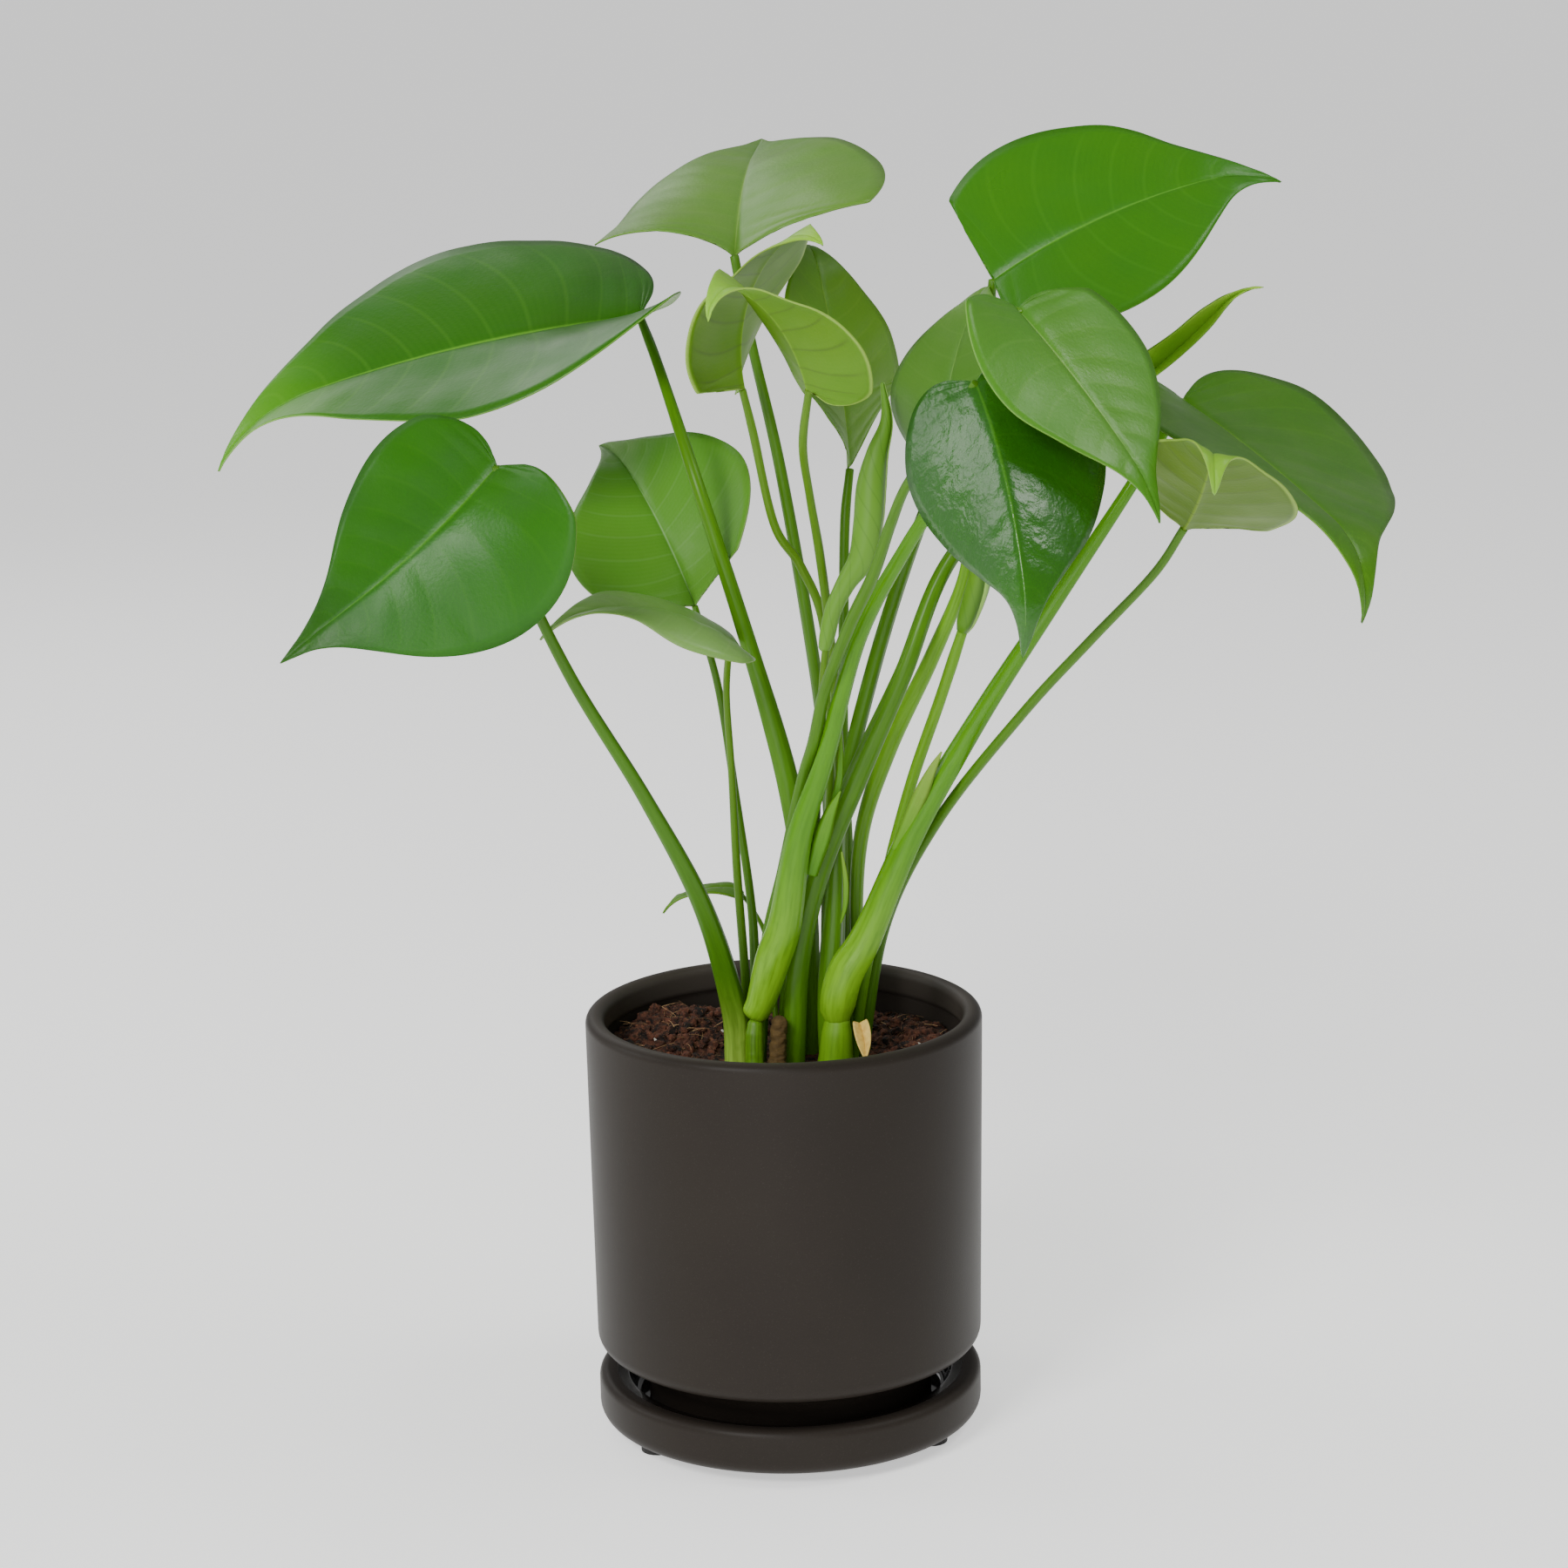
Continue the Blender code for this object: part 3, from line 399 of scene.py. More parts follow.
# Potting mix: near-black peat, red-brown coir and paler dust, in patches of 1 to 6 mm
soil_mix, tree, shader = new_material("damp_coir_and_peat")
place = add_node(tree, "ShaderNodeTexCoord")
patches = add_node(tree, "ShaderNodeTexNoise", {"Vector": place.outputs["Object"], "Scale": 240.0, "Detail": 5.0,
                                                "Roughness": 0.7})
dust = add_node(tree, "ShaderNodeTexNoise", {"Vector": place.outputs["Object"], "Scale": 900.0, "Detail": 3.0})
peat = add_node(tree, "ShaderNodeMapRange", {"Value": patches.outputs["Fac"], "From Min": 0.42, "From Max": 0.60})
brown = add_node(tree, "ShaderNodeMix", {0: peat.outputs["Result"], 6: linear("#100805"), 7: linear("#5E3524")},
                 data_type="RGBA")
pale = add_node(tree, "ShaderNodeMapRange", {"Value": dust.outputs["Fac"], "From Min": 0.58, "From Max": 0.76,
                                             "To Max": 0.55})
colour = add_node(tree, "ShaderNodeMix", {0: pale.outputs["Result"], 6: brown.outputs[2], 7: linear("#9A6848")},
                  data_type="RGBA")
bump = add_node(tree, "ShaderNodeBump", {"Height": dust.outputs["Fac"], "Strength": 0.8, "Distance": 0.0008})
tree.links.new(colour.outputs[2], shader.inputs["Base Color"])
tree.links.new(bump.outputs["Normal"], shader.inputs["Normal"])
shader.inputs["Roughness"].default_value = 0.95


def soil_place(across, along):
    """The top from its middle out to SOIL_EDGE, then the side down to the soil's depth."""
    turn = 2 * math.pi * across
    if along <= SOIL_EDGE:
        reach = soil_radius * along / SOIL_EDGE
        x, y = reach * math.cos(turn), reach * math.sin(turn)
        return (x, y, soil_top(x, y))
    down = (along - SOIL_EDGE) / (1 - SOIL_EDGE)
    reach = soil_radius - SOIL_TAPER * down
    return (reach * math.cos(turn), reach * math.sin(turn), soil_z - SOIL_DEPTH * down)


soil = shaped_grid(220, 130, soil_place)
bpy.ops.object.mode_set(mode="EDIT")
select_where(soil, "EDGE", lambda e: e.is_boundary)
bpy.ops.mesh.edge_face_add()
bpy.ops.mesh.select_all(action="SELECT")
bpy.ops.mesh.normals_make_consistent(inside=False)
bpy.ops.object.mode_set(mode="OBJECT")
soil.data.materials.append(soil_mix)
hand_over(soil, "potting_soil", ("soil",), "soil")


def scattered(name, model, count, spots, sizes, material, slot, seed, lift=0.2):
    """Copies of one small model, each turned and sized its own way, on the soil, as one piece."""
    chance = random.Random(seed)
    points = np.array([v.co[:] for v in model.data.vertices])
    loops = [list(p.vertices) for p in model.data.polygons]
    all_points, all_faces = [], []
    for index in range(count):
        x, y = spots(chance)
        turn = Matrix.Rotation(chance.uniform(0, 2 * math.pi), 3, "Z")
        tilt = Matrix.Rotation(chance.gauss(0, 0.5), 3, "X") @ Matrix.Rotation(chance.gauss(0, 0.3), 3, "Y")
        size = chance.uniform(*sizes)
        stretch = np.array((1.0, chance.uniform(0.55, 1.0), chance.uniform(0.4, 0.9)))
        moved = (points * stretch * size) @ np.array(turn @ tilt).T
        moved += (x, y, soil_top(x, y) + lift * size)
        all_faces += [[i + index * len(points) for i in loop] for loop in loops]
        all_points.append(moved)
    mesh = bpy.data.meshes.new(name)
    mesh.from_pydata(np.vstack(all_points), [], all_faces)
    piece = bpy.data.objects.new(name, mesh)
    bpy.context.scene.collection.objects.link(piece)
    mesh.materials.append(material)
    bpy.data.objects.remove(model)
    hand_over(piece, name, (), slot, smooth=False)


def clear_of_stems(chance):
    """A spot on the soil that isn't under the stems."""
    while True:
        reach = (soil_radius - 0.003) * math.sqrt(chance.random())
        turn = chance.uniform(0, 2 * math.pi)
        x, y = reach * math.cos(turn), reach * math.sin(turn)
        if math.hypot(x - 0.004, y - 0.004) > STEMS_REACH:
            return x, y


# Crumbs of coir and peat, one lumpy pebble shape in sizes of 0.5 to 2.3 mm
CRUMBS = 1300
CRUMB_SIZES = (0.0005, 0.0023)
bpy.ops.mesh.primitive_ico_sphere_add(subdivisions=2, radius=1.0)
crumb = bpy.context.object
for vertex in crumb.data.vertices:
    vertex.co *= 1.0 + 0.35 * noise.noise(vertex.co * 1.7)
scattered("soil_crumbs", crumb, CRUMBS, clear_of_stems, CRUMB_SIZES, soil_mix, "soil", 3)

# Coir fibre: short stiff hairs of husk, red-brown to straw, drawn thick enough to show
FIBRES = 380
FIBRE_SIZES = (0.0018, 0.0055)
coir_hair, tree, shader = new_material("coir_fibre")
place = add_node(tree, "ShaderNodeTexCoord")
shade = add_node(tree, "ShaderNodeTexNoise", {"Vector": place.outputs["Object"], "Scale": 150.0, "Detail": 1.0})
spread = add_node(tree, "ShaderNodeMapRange", {"Value": shade.outputs["Fac"], "From Min": 0.35, "From Max": 0.65})
colour = add_node(tree, "ShaderNodeMix", {0: spread.outputs["Result"], 6: linear("#5B3422"), 7: linear("#C09A6C")},
                  data_type="RGBA")
tree.links.new(colour.outputs[2], shader.inputs["Base Color"])
shader.inputs["Roughness"].default_value = 0.8


def hair_place(across, along):
    """A bent hair about 2 long that thins towards one end."""
    turn = 2 * math.pi * across
    thin = 0.030 * (1 - 0.6 * along)
    return ((along - 0.5) * 2 + 0.02 * math.sin(5 * along),
            0.35 * math.sin(2.2 * along) + thin * math.cos(turn),
            thin * math.sin(turn) + 0.25 * math.sin(math.pi * along))


hair = shaped_grid(4, 6, hair_place)
scattered("soil_fibres", hair, FIBRES, clear_of_stems, FIBRE_SIZES, coir_hair, "soil", 8, 0.02)

# Perlite: a few grains of white puffed glass near the stems
PERLITE_SIZES = (0.0006, 0.0012)
PERLITE_SPOTS = ((0.017, -0.022), (0.034, -0.014), (0.029, -0.024), (-0.020, 0.024), (0.043, 0.006),
                 (0.012, -0.028), (-0.041, 0.010))
perlite, tree, shader = new_material("white_perlite")
shader.inputs["Base Color"].default_value = linear("#CFCBC0")
shader.inputs["Roughness"].default_value = 0.85
bpy.ops.mesh.primitive_ico_sphere_add(subdivisions=2, radius=1.0)
grain_model = bpy.context.object
for vertex in grain_model.data.vertices:
    vertex.co *= 1.0 + 0.4 * noise.noise(vertex.co * 2.3 + Vector((5, 0, 0)))
spots_left = iter(PERLITE_SPOTS)
scattered("soil_perlite", grain_model, len(PERLITE_SPOTS), lambda chance: next(spots_left), PERLITE_SIZES, perlite,
          "soil", 5, 0.4)

# ---------------------------------------------------------------- stems and root
# The short old stem ends of the plant at the soil, green and ringed where leaves have dropped, and
# one brown corky root that goes into the mix. Each grows straight out of the soil.


def smooth_path(points, count):
    """Points spread evenly along a Catmull-Rom curve through the given ones."""
    knots = np.array(points, float)
    ends = np.vstack((2 * knots[0] - knots[1], knots, 2 * knots[-1] - knots[-2]))
    u = np.linspace(0, 1, 24, endpoint=False)[:, None]
    spans = []
    for a, b, c, d in zip(ends, ends[1:], ends[2:], ends[3:]):
        bend = (2 * a - 5 * b + 4 * c - d) * u ** 2 + (3 * b - a - 3 * c + d) * u ** 3
        spans.append(b + ((c - a) * u + bend) / 2)
    fine = np.vstack(spans + [knots[-1:]])
    axes = min(3, knots.shape[1])
    steps = np.linalg.norm(np.diff(fine[:, :axes], axis=0), axis=1)
    along = np.concatenate(([0.0], np.cumsum(steps)))
    wanted = np.linspace(0, along[-1], count)
    return np.stack([np.interp(wanted, along, column) for column in fine.T], axis=1)


def on_plant(places):
    """Places counted from the soil's level, as world positions."""
    return [(x, y, z + plant_z, *rest) for x, y, z, *rest in places]


def grown_tube(name, route, rings, sides, swell, material, slot, replaced, ends=(0.9, 0.9)):
    """A stalk round a route of (x, y, z, radius). swell(share, turn) scales its radius."""
    path = smooth_path(route, rings)
    axis, radii = path[:, :3], path[:, 3]
    ways = np.gradient(axis, axis=0)
    ways /= np.linalg.norm(ways, axis=1)[:, None]
    side = np.cross(ways[0], (0.0, 1.0, 0.0))
    side /= np.linalg.norm(side)
    sides_at = []
    for way in ways:
        side = side - way * (side @ way)
        side /= np.linalg.norm(side)
        sides_at.append(side)
    sides_at = np.array(sides_at)
    over_at = np.cross(ways, sides_at)
    cap = 5  # rings that close each end

    def place(across, along):
        step = along * (rings - 1 + 2 * cap)
        turn = 2 * math.pi * across
        if step < cap:
            index, shrink, push = 0, step / cap, -ends[0]
        elif step > rings - 1 + cap:
            index, shrink, push = rings - 1, (rings - 1 + 2 * cap - step) / cap, ends[1]
        else:
            index, shrink, push = int(round(step - cap)), 1.0, 0.0
        share = index / (rings - 1)
        radius = radii[index] * swell(share, turn)
        round_out = math.sin(shrink * math.pi / 2)
        pushed = ways[index] * push * radii[index] * math.cos(shrink * math.pi / 2)
        out = sides_at[index] * math.cos(turn) + over_at[index] * math.sin(turn)
        return axis[index] + pushed + out * radius * round_out

    tube = shaped_grid(sides, rings - 1 + 2 * cap, place)
    bpy.ops.object.mode_set(mode="EDIT")
    bpy.ops.mesh.select_all(action="SELECT")
    bpy.ops.mesh.normals_make_consistent(inside=False)
    bpy.ops.object.mode_set(mode="OBJECT")
    length_map = tube.data.uv_layers[0]
    length_map.name = "stalk"
    run = float(np.sum(np.linalg.norm(np.diff(axis, axis=0), axis=1)))
    uv = np.empty(len(length_map.data) * 2)
    length_map.data.foreach_get("uv", uv)
    uv = uv.reshape(-1, 2)
    uv[:, 1] *= run
    length_map.data.foreach_set("uv", uv.ravel())
    tube.data.materials.append(material)
    hand_over(tube, name, replaced, slot)


def stalk_skin(name, base, tip, dark, run, gloss=0.32, flecks=0.45):
    """Living stalk: waxy green skin, paler at its thick base, streaked along its length."""
    material, tree, shader = new_material(name)
    uv = add_node(tree, "ShaderNodeUVMap", uv_map="stalk")
    parts = add_node(tree, "ShaderNodeSeparateXYZ", {"Vector": uv.outputs["UV"]})
    height = add_node(tree, "ShaderNodeMapRange", {"Value": parts.outputs["Y"], "From Min": 0.0, "From Max": run},
                      interpolation_type="SMOOTHSTEP")
    length_tone = add_node(tree, "ShaderNodeMix", {0: height.outputs["Result"], 6: linear(base), 7: linear(tip)},
                           data_type="RGBA")
    # Streaks about 0.5 mm wide and 30 mm long, as the veins run
    stretched = add_node(tree, "ShaderNodeCombineXYZ", {"X": parts.outputs["X"], "Y": parts.outputs["Y"]})
    laid = add_node(tree, "ShaderNodeMapping", {"Vector": stretched.outputs["Vector"], "Scale": (26.0, 90.0, 1.0)})
    streak = add_node(tree, "ShaderNodeTexNoise", {"Vector": laid.outputs["Vector"], "Scale": 1.0, "Detail": 2.0})
    part = add_node(tree, "ShaderNodeMapRange", {"Value": streak.outputs["Fac"], "From Min": 0.42, "From Max": 0.75,
                                                 "To Max": flecks})
    streaked = add_node(tree, "ShaderNodeMix", {0: part.outputs["Result"], 6: length_tone.outputs[2],
                                                7: linear(dark)}, data_type="RGBA")
    place = add_node(tree, "ShaderNodeTexCoord")
    mottle = add_node(tree, "ShaderNodeTexNoise", {"Vector": place.outputs["Object"], "Scale": 300.0, "Detail": 2.0})
    patch = add_node(tree, "ShaderNodeMapRange", {"Value": mottle.outputs["Fac"], "From Min": 0.55, "From Max": 0.8,
                                                  "To Max": 0.3})
    colour = add_node(tree, "ShaderNodeMix", {0: patch.outputs["Result"], 6: streaked.outputs[2], 7: linear(tip)},
                      data_type="RGBA")
    bump = add_node(tree, "ShaderNodeBump", {"Height": streak.outputs["Fac"], "Strength": 0.25, "Distance": 0.0003})
    tree.links.new(colour.outputs[2], shader.inputs["Base Color"])
    tree.links.new(bump.outputs["Normal"], shader.inputs["Normal"])
    shader.inputs["Roughness"].default_value = gloss
    shader.inputs["Specular IOR Level"].default_value = 0.25
    shader.inputs["Subsurface Weight"].default_value = 0.10
    shader.inputs["Subsurface Scale"].default_value = 0.002
    shader.inputs["Subsurface Radius"].default_value = (0.6, 1.0, 0.2)
    return material


def cork_skin(name, pale, dark):
    """Root cork: a dry brown skin with cracks that run round it, about 1 mm apart."""
    material, tree, shader = new_material(name)
    place = add_node(tree, "ShaderNodeTexCoord")
    flat = add_node(tree, "ShaderNodeMapping", {"Vector": place.outputs["Object"], "Scale": (1.0, 1.0, 3.0)})
    cracks = add_node(tree, "ShaderNodeTexNoise", {"Vector": flat.outputs["Vector"], "Scale": 420.0, "Detail": 4.0})
    colour = add_node(tree, "ShaderNodeMix", {0: cracks.outputs["Fac"], 6: linear(dark), 7: linear(pale)},
                      data_type="RGBA")
    bump = add_node(tree, "ShaderNodeBump", {"Height": cracks.outputs["Fac"], "Strength": 0.6, "Distance": 0.0006})
    tree.links.new(colour.outputs[2], shader.inputs["Base Color"])
    tree.links.new(bump.outputs["Normal"], shader.inputs["Normal"])
    shader.inputs["Roughness"].default_value = 0.85
    return material


def ringed(share, turn):
    """An old stem: a swollen ring at its top and middle, and flats where leaves clasped it."""
    rings = 0.04 * math.exp(-((share - 0.8) / 0.05) ** 2) + 0.03 * math.exp(-((share - 0.35) / 0.04) ** 2)
    return 0.95 + rings - 0.03 * math.cos(3 * turn + 2 * share)


def clasped(share, turn):
    """A stem's foot with only the flats where leaves clasped it."""
    return 0.96 - 0.03 * math.cos(3 * turn + 2 * share)


def knotted(share, turn):
    """A root with lumps all round."""
    return 0.95 + 0.22 * noise.noise(Vector((share * 9, 2 * math.cos(turn), 2 * math.sin(turn))))


old_stem = stalk_skin("old_stem_skin", "#5C8C0C", "#5C8C0C", "#2A4206", 0.012, gloss=0.4, flecks=0.7)
bright_stem = stalk_skin("bright_stem_skin", "#6A9E14", "#74A81C", "#41680A", 0.012, gloss=0.36, flecks=0.4)
dark_stem = stalk_skin("dark_stem_skin", "#3A4A12", "#4C6316", "#262E0E", 0.020, gloss=0.45, flecks=0.6)
root_cork = cork_skin("brown_root_cork", "#6E5426", "#33260F")

# Each route is of places from the soil's level, with the radius there
for name, node, skin, slot, rings, sides, shape, route in (
    ("stem_front_end", "stem_front", old_stem, "stem", 24, 32, ringed,
     ((-0.0095, -0.0150, 0.0010, 0.0034), (-0.0095, -0.0142, 0.0050, 0.0031),
      (-0.0094, -0.0130, 0.0110, 0.0030), (-0.0090, -0.0120, 0.0150, 0.0027))),
    ("stem_back_end", "stem_back", dark_stem, "stem", 24, 24, ringed,
     ((0.0020, 0.0040, 0.0010, 0.0019), (0.0030, 0.0030, 0.0195, 0.0019))),
    ("stem_right_end", "stem_right", bright_stem, "stem", 24, 32, clasped,
     ((0.0160, -0.0115, 0.0010, 0.0062), (0.0163, -0.0115, 0.0055, 0.0056),
      (0.0167, -0.0113, 0.0115, 0.0051), (0.0170, -0.0112, 0.0150, 0.0044))),
    ("front_root", "root_front", root_cork, "root", 40, 28, knotted,
     ((-0.0025, -0.0145, 0.0010, 0.0032), (-0.0020, -0.0133, 0.0080, 0.0028),
      (-0.0014, -0.0123, 0.0158, 0.0026))),
):
    grown_tube(name, on_plant(route), rings, sides, shape, skin, slot, (node,))

# ---------------------------------------------------------------- stalks
# Eighteen living leaf stalks, each rising from the crown to the neck of its own leaf. They are waxy
# and bright green, thick and pale at the sheathed base, and thin towards the leaf.

STALK_RINGS = 90
STALK_SIDES = 36
STALK_GAP = 0.0004
# Each stalk's route from the soil, with the radius there, then its radius at the leaf
STALKS = {
    "left_large": (((0.008, 0.010, 0.0, 0.0034), (0.008, 0.009, 0.046, 0.0038), (0.003, 0.008, 0.088, 0.0038),
                    (-0.009, 0.010, 0.134, 0.0029), (-0.024, 0.015, 0.184, 0.0023),
                    (-0.036, 0.048, 0.217, 0.0018)), 0.0015),
    "left_low": (((-0.015, -0.004, 0.0, 0.0042), (-0.016, -0.004, 0.019, 0.0042),
                  (-0.025, -0.013, 0.055, 0.0032), (-0.042, -0.024, 0.093, 0.0023),
                  (-0.063, -0.034, 0.133, 0.0019), (-0.078, -0.042, 0.171, 0.0016)), 0.0014),
    "left_upright": (((-0.009, 0.012, 0.0, 0.0017), (-0.009, 0.015, 0.030, 0.0017),
                      (-0.010, 0.020, 0.049, 0.0015), (-0.014, 0.026, 0.080, 0.0014),
                      (-0.019, 0.030, 0.116, 0.0013)), 0.0011),
    "left_arched": (((-0.012, 0.008, 0.0, 0.0016), (-0.012, 0.008, 0.023, 0.0015),
                     (-0.014, 0.009, 0.060, 0.0014), (-0.015, 0.006, 0.093, 0.0012),
                     (-0.016, 0.000, 0.119, 0.0011)), 0.0011),
    "top": (((0.018, 0.027, 0.0, 0.0024), (0.017, 0.028, 0.057, 0.0024), (0.015, 0.027, 0.097, 0.0022),
             (0.010, 0.025, 0.138, 0.0021), (0.002, 0.029, 0.188, 0.0019),
             (-0.006, 0.030, 0.226, 0.0016)), 0.0015),
    "young_left": (((0.013, 0.016, 0.0, 0.0018), (0.015, 0.017, 0.058, 0.0018), (0.017, 0.016, 0.099, 0.0017),
                    (0.015, 0.010, 0.139, 0.0015), (0.008, 0.006, 0.159, 0.0015),
                    (0.000, 0.001, 0.173, 0.0014), (-0.006, -0.007, 0.203, 0.0013)), 0.0012),
    "young_centre": (((0.020, 0.013, 0.0, 0.0018), (0.020, 0.012, 0.059, 0.0018),
                      (0.019, 0.011, 0.100, 0.0017), (0.017, 0.004, 0.135, 0.0015),
                      (0.014, -0.007, 0.164, 0.0015), (0.011, -0.022, 0.185, 0.0013),
                      (0.009, -0.038, 0.203, 0.0013)), 0.0012),
    "back_upright": (((0.024, 0.024, 0.0, 0.0020), (0.022, 0.027, 0.055, 0.0020),
                      (0.021, 0.034, 0.097, 0.0018), (0.022, 0.044, 0.138, 0.0017),
                      (0.023, 0.054, 0.165, 0.0016)), 0.0014),
    "rolled_centre": (((0.003, 0.018, 0.0, 0.0016), (0.010, 0.018, 0.048, 0.0015),
                       (0.012, 0.004, 0.089, 0.0014), (0.014, -0.007, 0.122, 0.0012)), 0.0012),
    "right_large": (((0.015, -0.001, 0.0, 0.0040), (0.015, 0.0, 0.022, 0.0043), (0.017, 0.003, 0.052, 0.0034),
                     (0.019, 0.006, 0.080, 0.0026), (0.027, 0.009, 0.113, 0.0026),
                     (0.038, 0.012, 0.149, 0.0024), (0.052, 0.013, 0.186, 0.0020),
                     (0.066, 0.012, 0.217, 0.0016)), 0.0014),
    "front_right": (((-0.009, -0.011, 0.019, 0.0043), (-0.007, -0.011, 0.023, 0.0048),
                     (-0.003, -0.012, 0.037, 0.0058), (0.001, -0.013, 0.049, 0.0055),
                     (0.006, -0.015, 0.077, 0.0042), (0.015, -0.020, 0.105, 0.0030),
                     (0.025, -0.032, 0.143, 0.0027), (0.039, -0.050, 0.173, 0.0022),
                     (0.053, -0.066, 0.198, 0.0020), (0.063, -0.080, 0.221, 0.0017)), 0.0014),
    "front_glossy": (((-0.008, 0.001, 0.0, 0.0022), (-0.005, 0.001, 0.037, 0.0022),
                      (0.001, -0.003, 0.064, 0.0021), (0.007, -0.011, 0.093, 0.0021),
                      (0.011, -0.019, 0.108, 0.0022), (0.014, -0.026, 0.124, 0.0020),
                      (0.018, -0.034, 0.137, 0.0020), (0.023, -0.043, 0.151, 0.0021),
                      (0.029, -0.055, 0.166, 0.0020), (0.034, -0.067, 0.183, 0.0018),
                      (0.039, -0.079, 0.197, 0.0015), (0.049, -0.095, 0.213, 0.0013)), 0.0013),
    "behind_front": (((0.026, 0.012, 0.0, 0.0022), (0.024, 0.014, 0.035, 0.0022),
                      (0.026, 0.016, 0.069, 0.0025), (0.035, 0.014, 0.098, 0.0029),
                      (0.049, 0.008, 0.129, 0.0026), (0.059, 0.000, 0.156, 0.0020),
                      (0.059, -0.008, 0.175, 0.0016)), 0.0012),
    "right_far": (((0.017, -0.011, 0.017, 0.0041), (0.017, -0.011, 0.021, 0.0052),
                   (0.020, -0.011, 0.032, 0.0051), (0.027, -0.011, 0.044, 0.0048),
                   (0.042, -0.012, 0.078, 0.0042), (0.064, -0.014, 0.116, 0.0033),
                   (0.086, -0.016, 0.150, 0.0026), (0.110, -0.015, 0.186, 0.0020)), 0.0016),
    "young_right": (((0.025, 0.006, 0.0, 0.0020), (0.033, 0.005, 0.043, 0.0020),
                     (0.050, -0.004, 0.079, 0.0018), (0.075, -0.030, 0.118, 0.0016),
                     (0.094, -0.050, 0.144, 0.0015), (0.111, -0.069, 0.167, 0.0013)), 0.0013),
    "half_open": (((0.002, -0.005, 0.0, 0.0046), (0.005, -0.003, 0.035, 0.0043),
                   (0.012, -0.003, 0.063, 0.0040), (0.025, -0.004, 0.094, 0.0036),
                   (0.039, -0.004, 0.125, 0.0030), (0.056, 0.005, 0.162, 0.0025),
                   (0.090, 0.006, 0.194, 0.0019)), 0.0014),
    "rolled_right": (((0.022, 0.002, 0.0, 0.0017), (0.027, 0.002, 0.030, 0.0017),
                      (0.034, 0.004, 0.061, 0.0018), (0.042, 0.003, 0.090, 0.0019),
                      (0.051, -0.001, 0.117, 0.0019)), 0.0017),
    "seedling": (((-0.002, 0.026, 0.0, 0.0010), (-0.003, 0.030, 0.011, 0.0010),
                  (-0.005, 0.038, 0.029, 0.0009), (-0.009, 0.046, 0.037, 0.0007)), 0.0007),
}

# Where each leaf's neck is, counted from the soil's level: a stalk ends there
NECKS = {
    "left_large": (-0.043, 0.080, 0.231), "left_low": (-0.082, -0.050, 0.200),
    "left_upright": (-0.026, 0.030, 0.143), "left_arched": (-0.015, -0.009, 0.135), "top": (-0.011, 0.032, 0.254),
    "young_left": (-0.009, -0.012, 0.217), "young_centre": (0.011, -0.050, 0.221),
    "back_upright": (0.025, 0.060, 0.182), "right_large": (0.069, 0.010, 0.247),
    "front_right": (0.070, -0.096, 0.248), "front_glossy": (0.057, -0.109, 0.229),
    "behind_front": (0.052, -0.022, 0.195), "right_far": (0.126, -0.009, 0.211),
    "young_right": (0.119, -0.078, 0.182), "half_open": (0.110, 0.010, 0.211), "seedling": (-0.015, 0.052, 0.044),
    "rolled_centre": (0.0153, -0.0095, 0.1362), "rolled_right": (0.0580, -0.0060, 0.1397),
}

# Each kind of stalk has its own greens: base, top and streak
STALK_SKINS = {
    "thick": stalk_skin("thick_stalk_skin", "#84B826", "#4C8404", "#386604", 0.075, gloss=0.26),
    "bright": stalk_skin("bright_stalk_skin", "#54860A", "#487804", "#365E04", 0.12, gloss=0.36),
    "pale": stalk_skin("pale_footed_stalk_skin", "#A8D050", "#3E6C04", "#345A04", 0.045, gloss=0.36),
    "yellow": stalk_skin("yellow_green_stalk_skin", "#5C9010", "#689C18", "#487608", 0.12, gloss=0.36),
    "deep": stalk_skin("deep_green_stalk_skin", "#4A780A", "#44700A", "#30540A", 0.16, gloss=0.42),
    "young": stalk_skin("young_stalk_skin", "#487404", "#527A0C", "#3A5C04", 0.16, gloss=0.42),
}
STALK_KINDS = {
    "front_right": "thick", "right_far": "thick", "left_low": "pale", "right_large": "bright",
    "left_large": "bright", "half_open": "bright", "front_glossy": "deep", "young_left": "young",
    "young_centre": "young", "young_right": "deep", "rolled_centre": "young", "rolled_right": "yellow",
    "behind_front": "yellow", "back_upright": "deep", "top": "deep", "left_upright": "deep",
    "left_arched": "young", "seedling": "young",
}
# How far up each stalk its clasping sheath reaches, as a share of its length
SHEATHS = {"front_right": 0.52, "right_far": 0.50, "left_low": 0.30, "right_large": 0.33, "left_large": 0.50,
           "half_open": 0.55, "top": 0.4, "front_glossy": 0.4, "behind_front": 0.4, "young_left": 0.5,
           "young_centre": 0.5, "back_upright": 0.4}
# How much wider than its route a stalk's foot swells
KNOBS = {"right_far": 0.18}


def stalk_shape(reach, phase, knob):
    """The stalk's section: a channel on the upper side, ribs, the sheath's two edges, foot and knee."""
    def swell(share, turn):
        foot = knob * math.exp(-((share - 0.06) / 0.08) ** 2)
        ribs = 0.014 * math.cos(9 * turn + phase) + 0.010 * math.cos(14 * turn + 2 * phase + 3 * share)
        channel = -0.10 * math.exp(-((math.remainder(turn - phase, 2 * math.pi)) / 0.35) ** 2)
        knee = 0.06 * math.exp(-((share - 0.93) / 0.035) ** 2)
        wing = 0.0
        if reach:
            clasp = min(max((reach - share) / 0.10, 0.0), 1.0)
            for edge in (0.55, -0.55):
                wing += 0.10 * clasp * math.exp(-((math.remainder(turn - phase - edge, 2 * math.pi)) / 0.13) ** 2)
        return 0.97 + ribs + channel + knee + wing + foot
    return swell


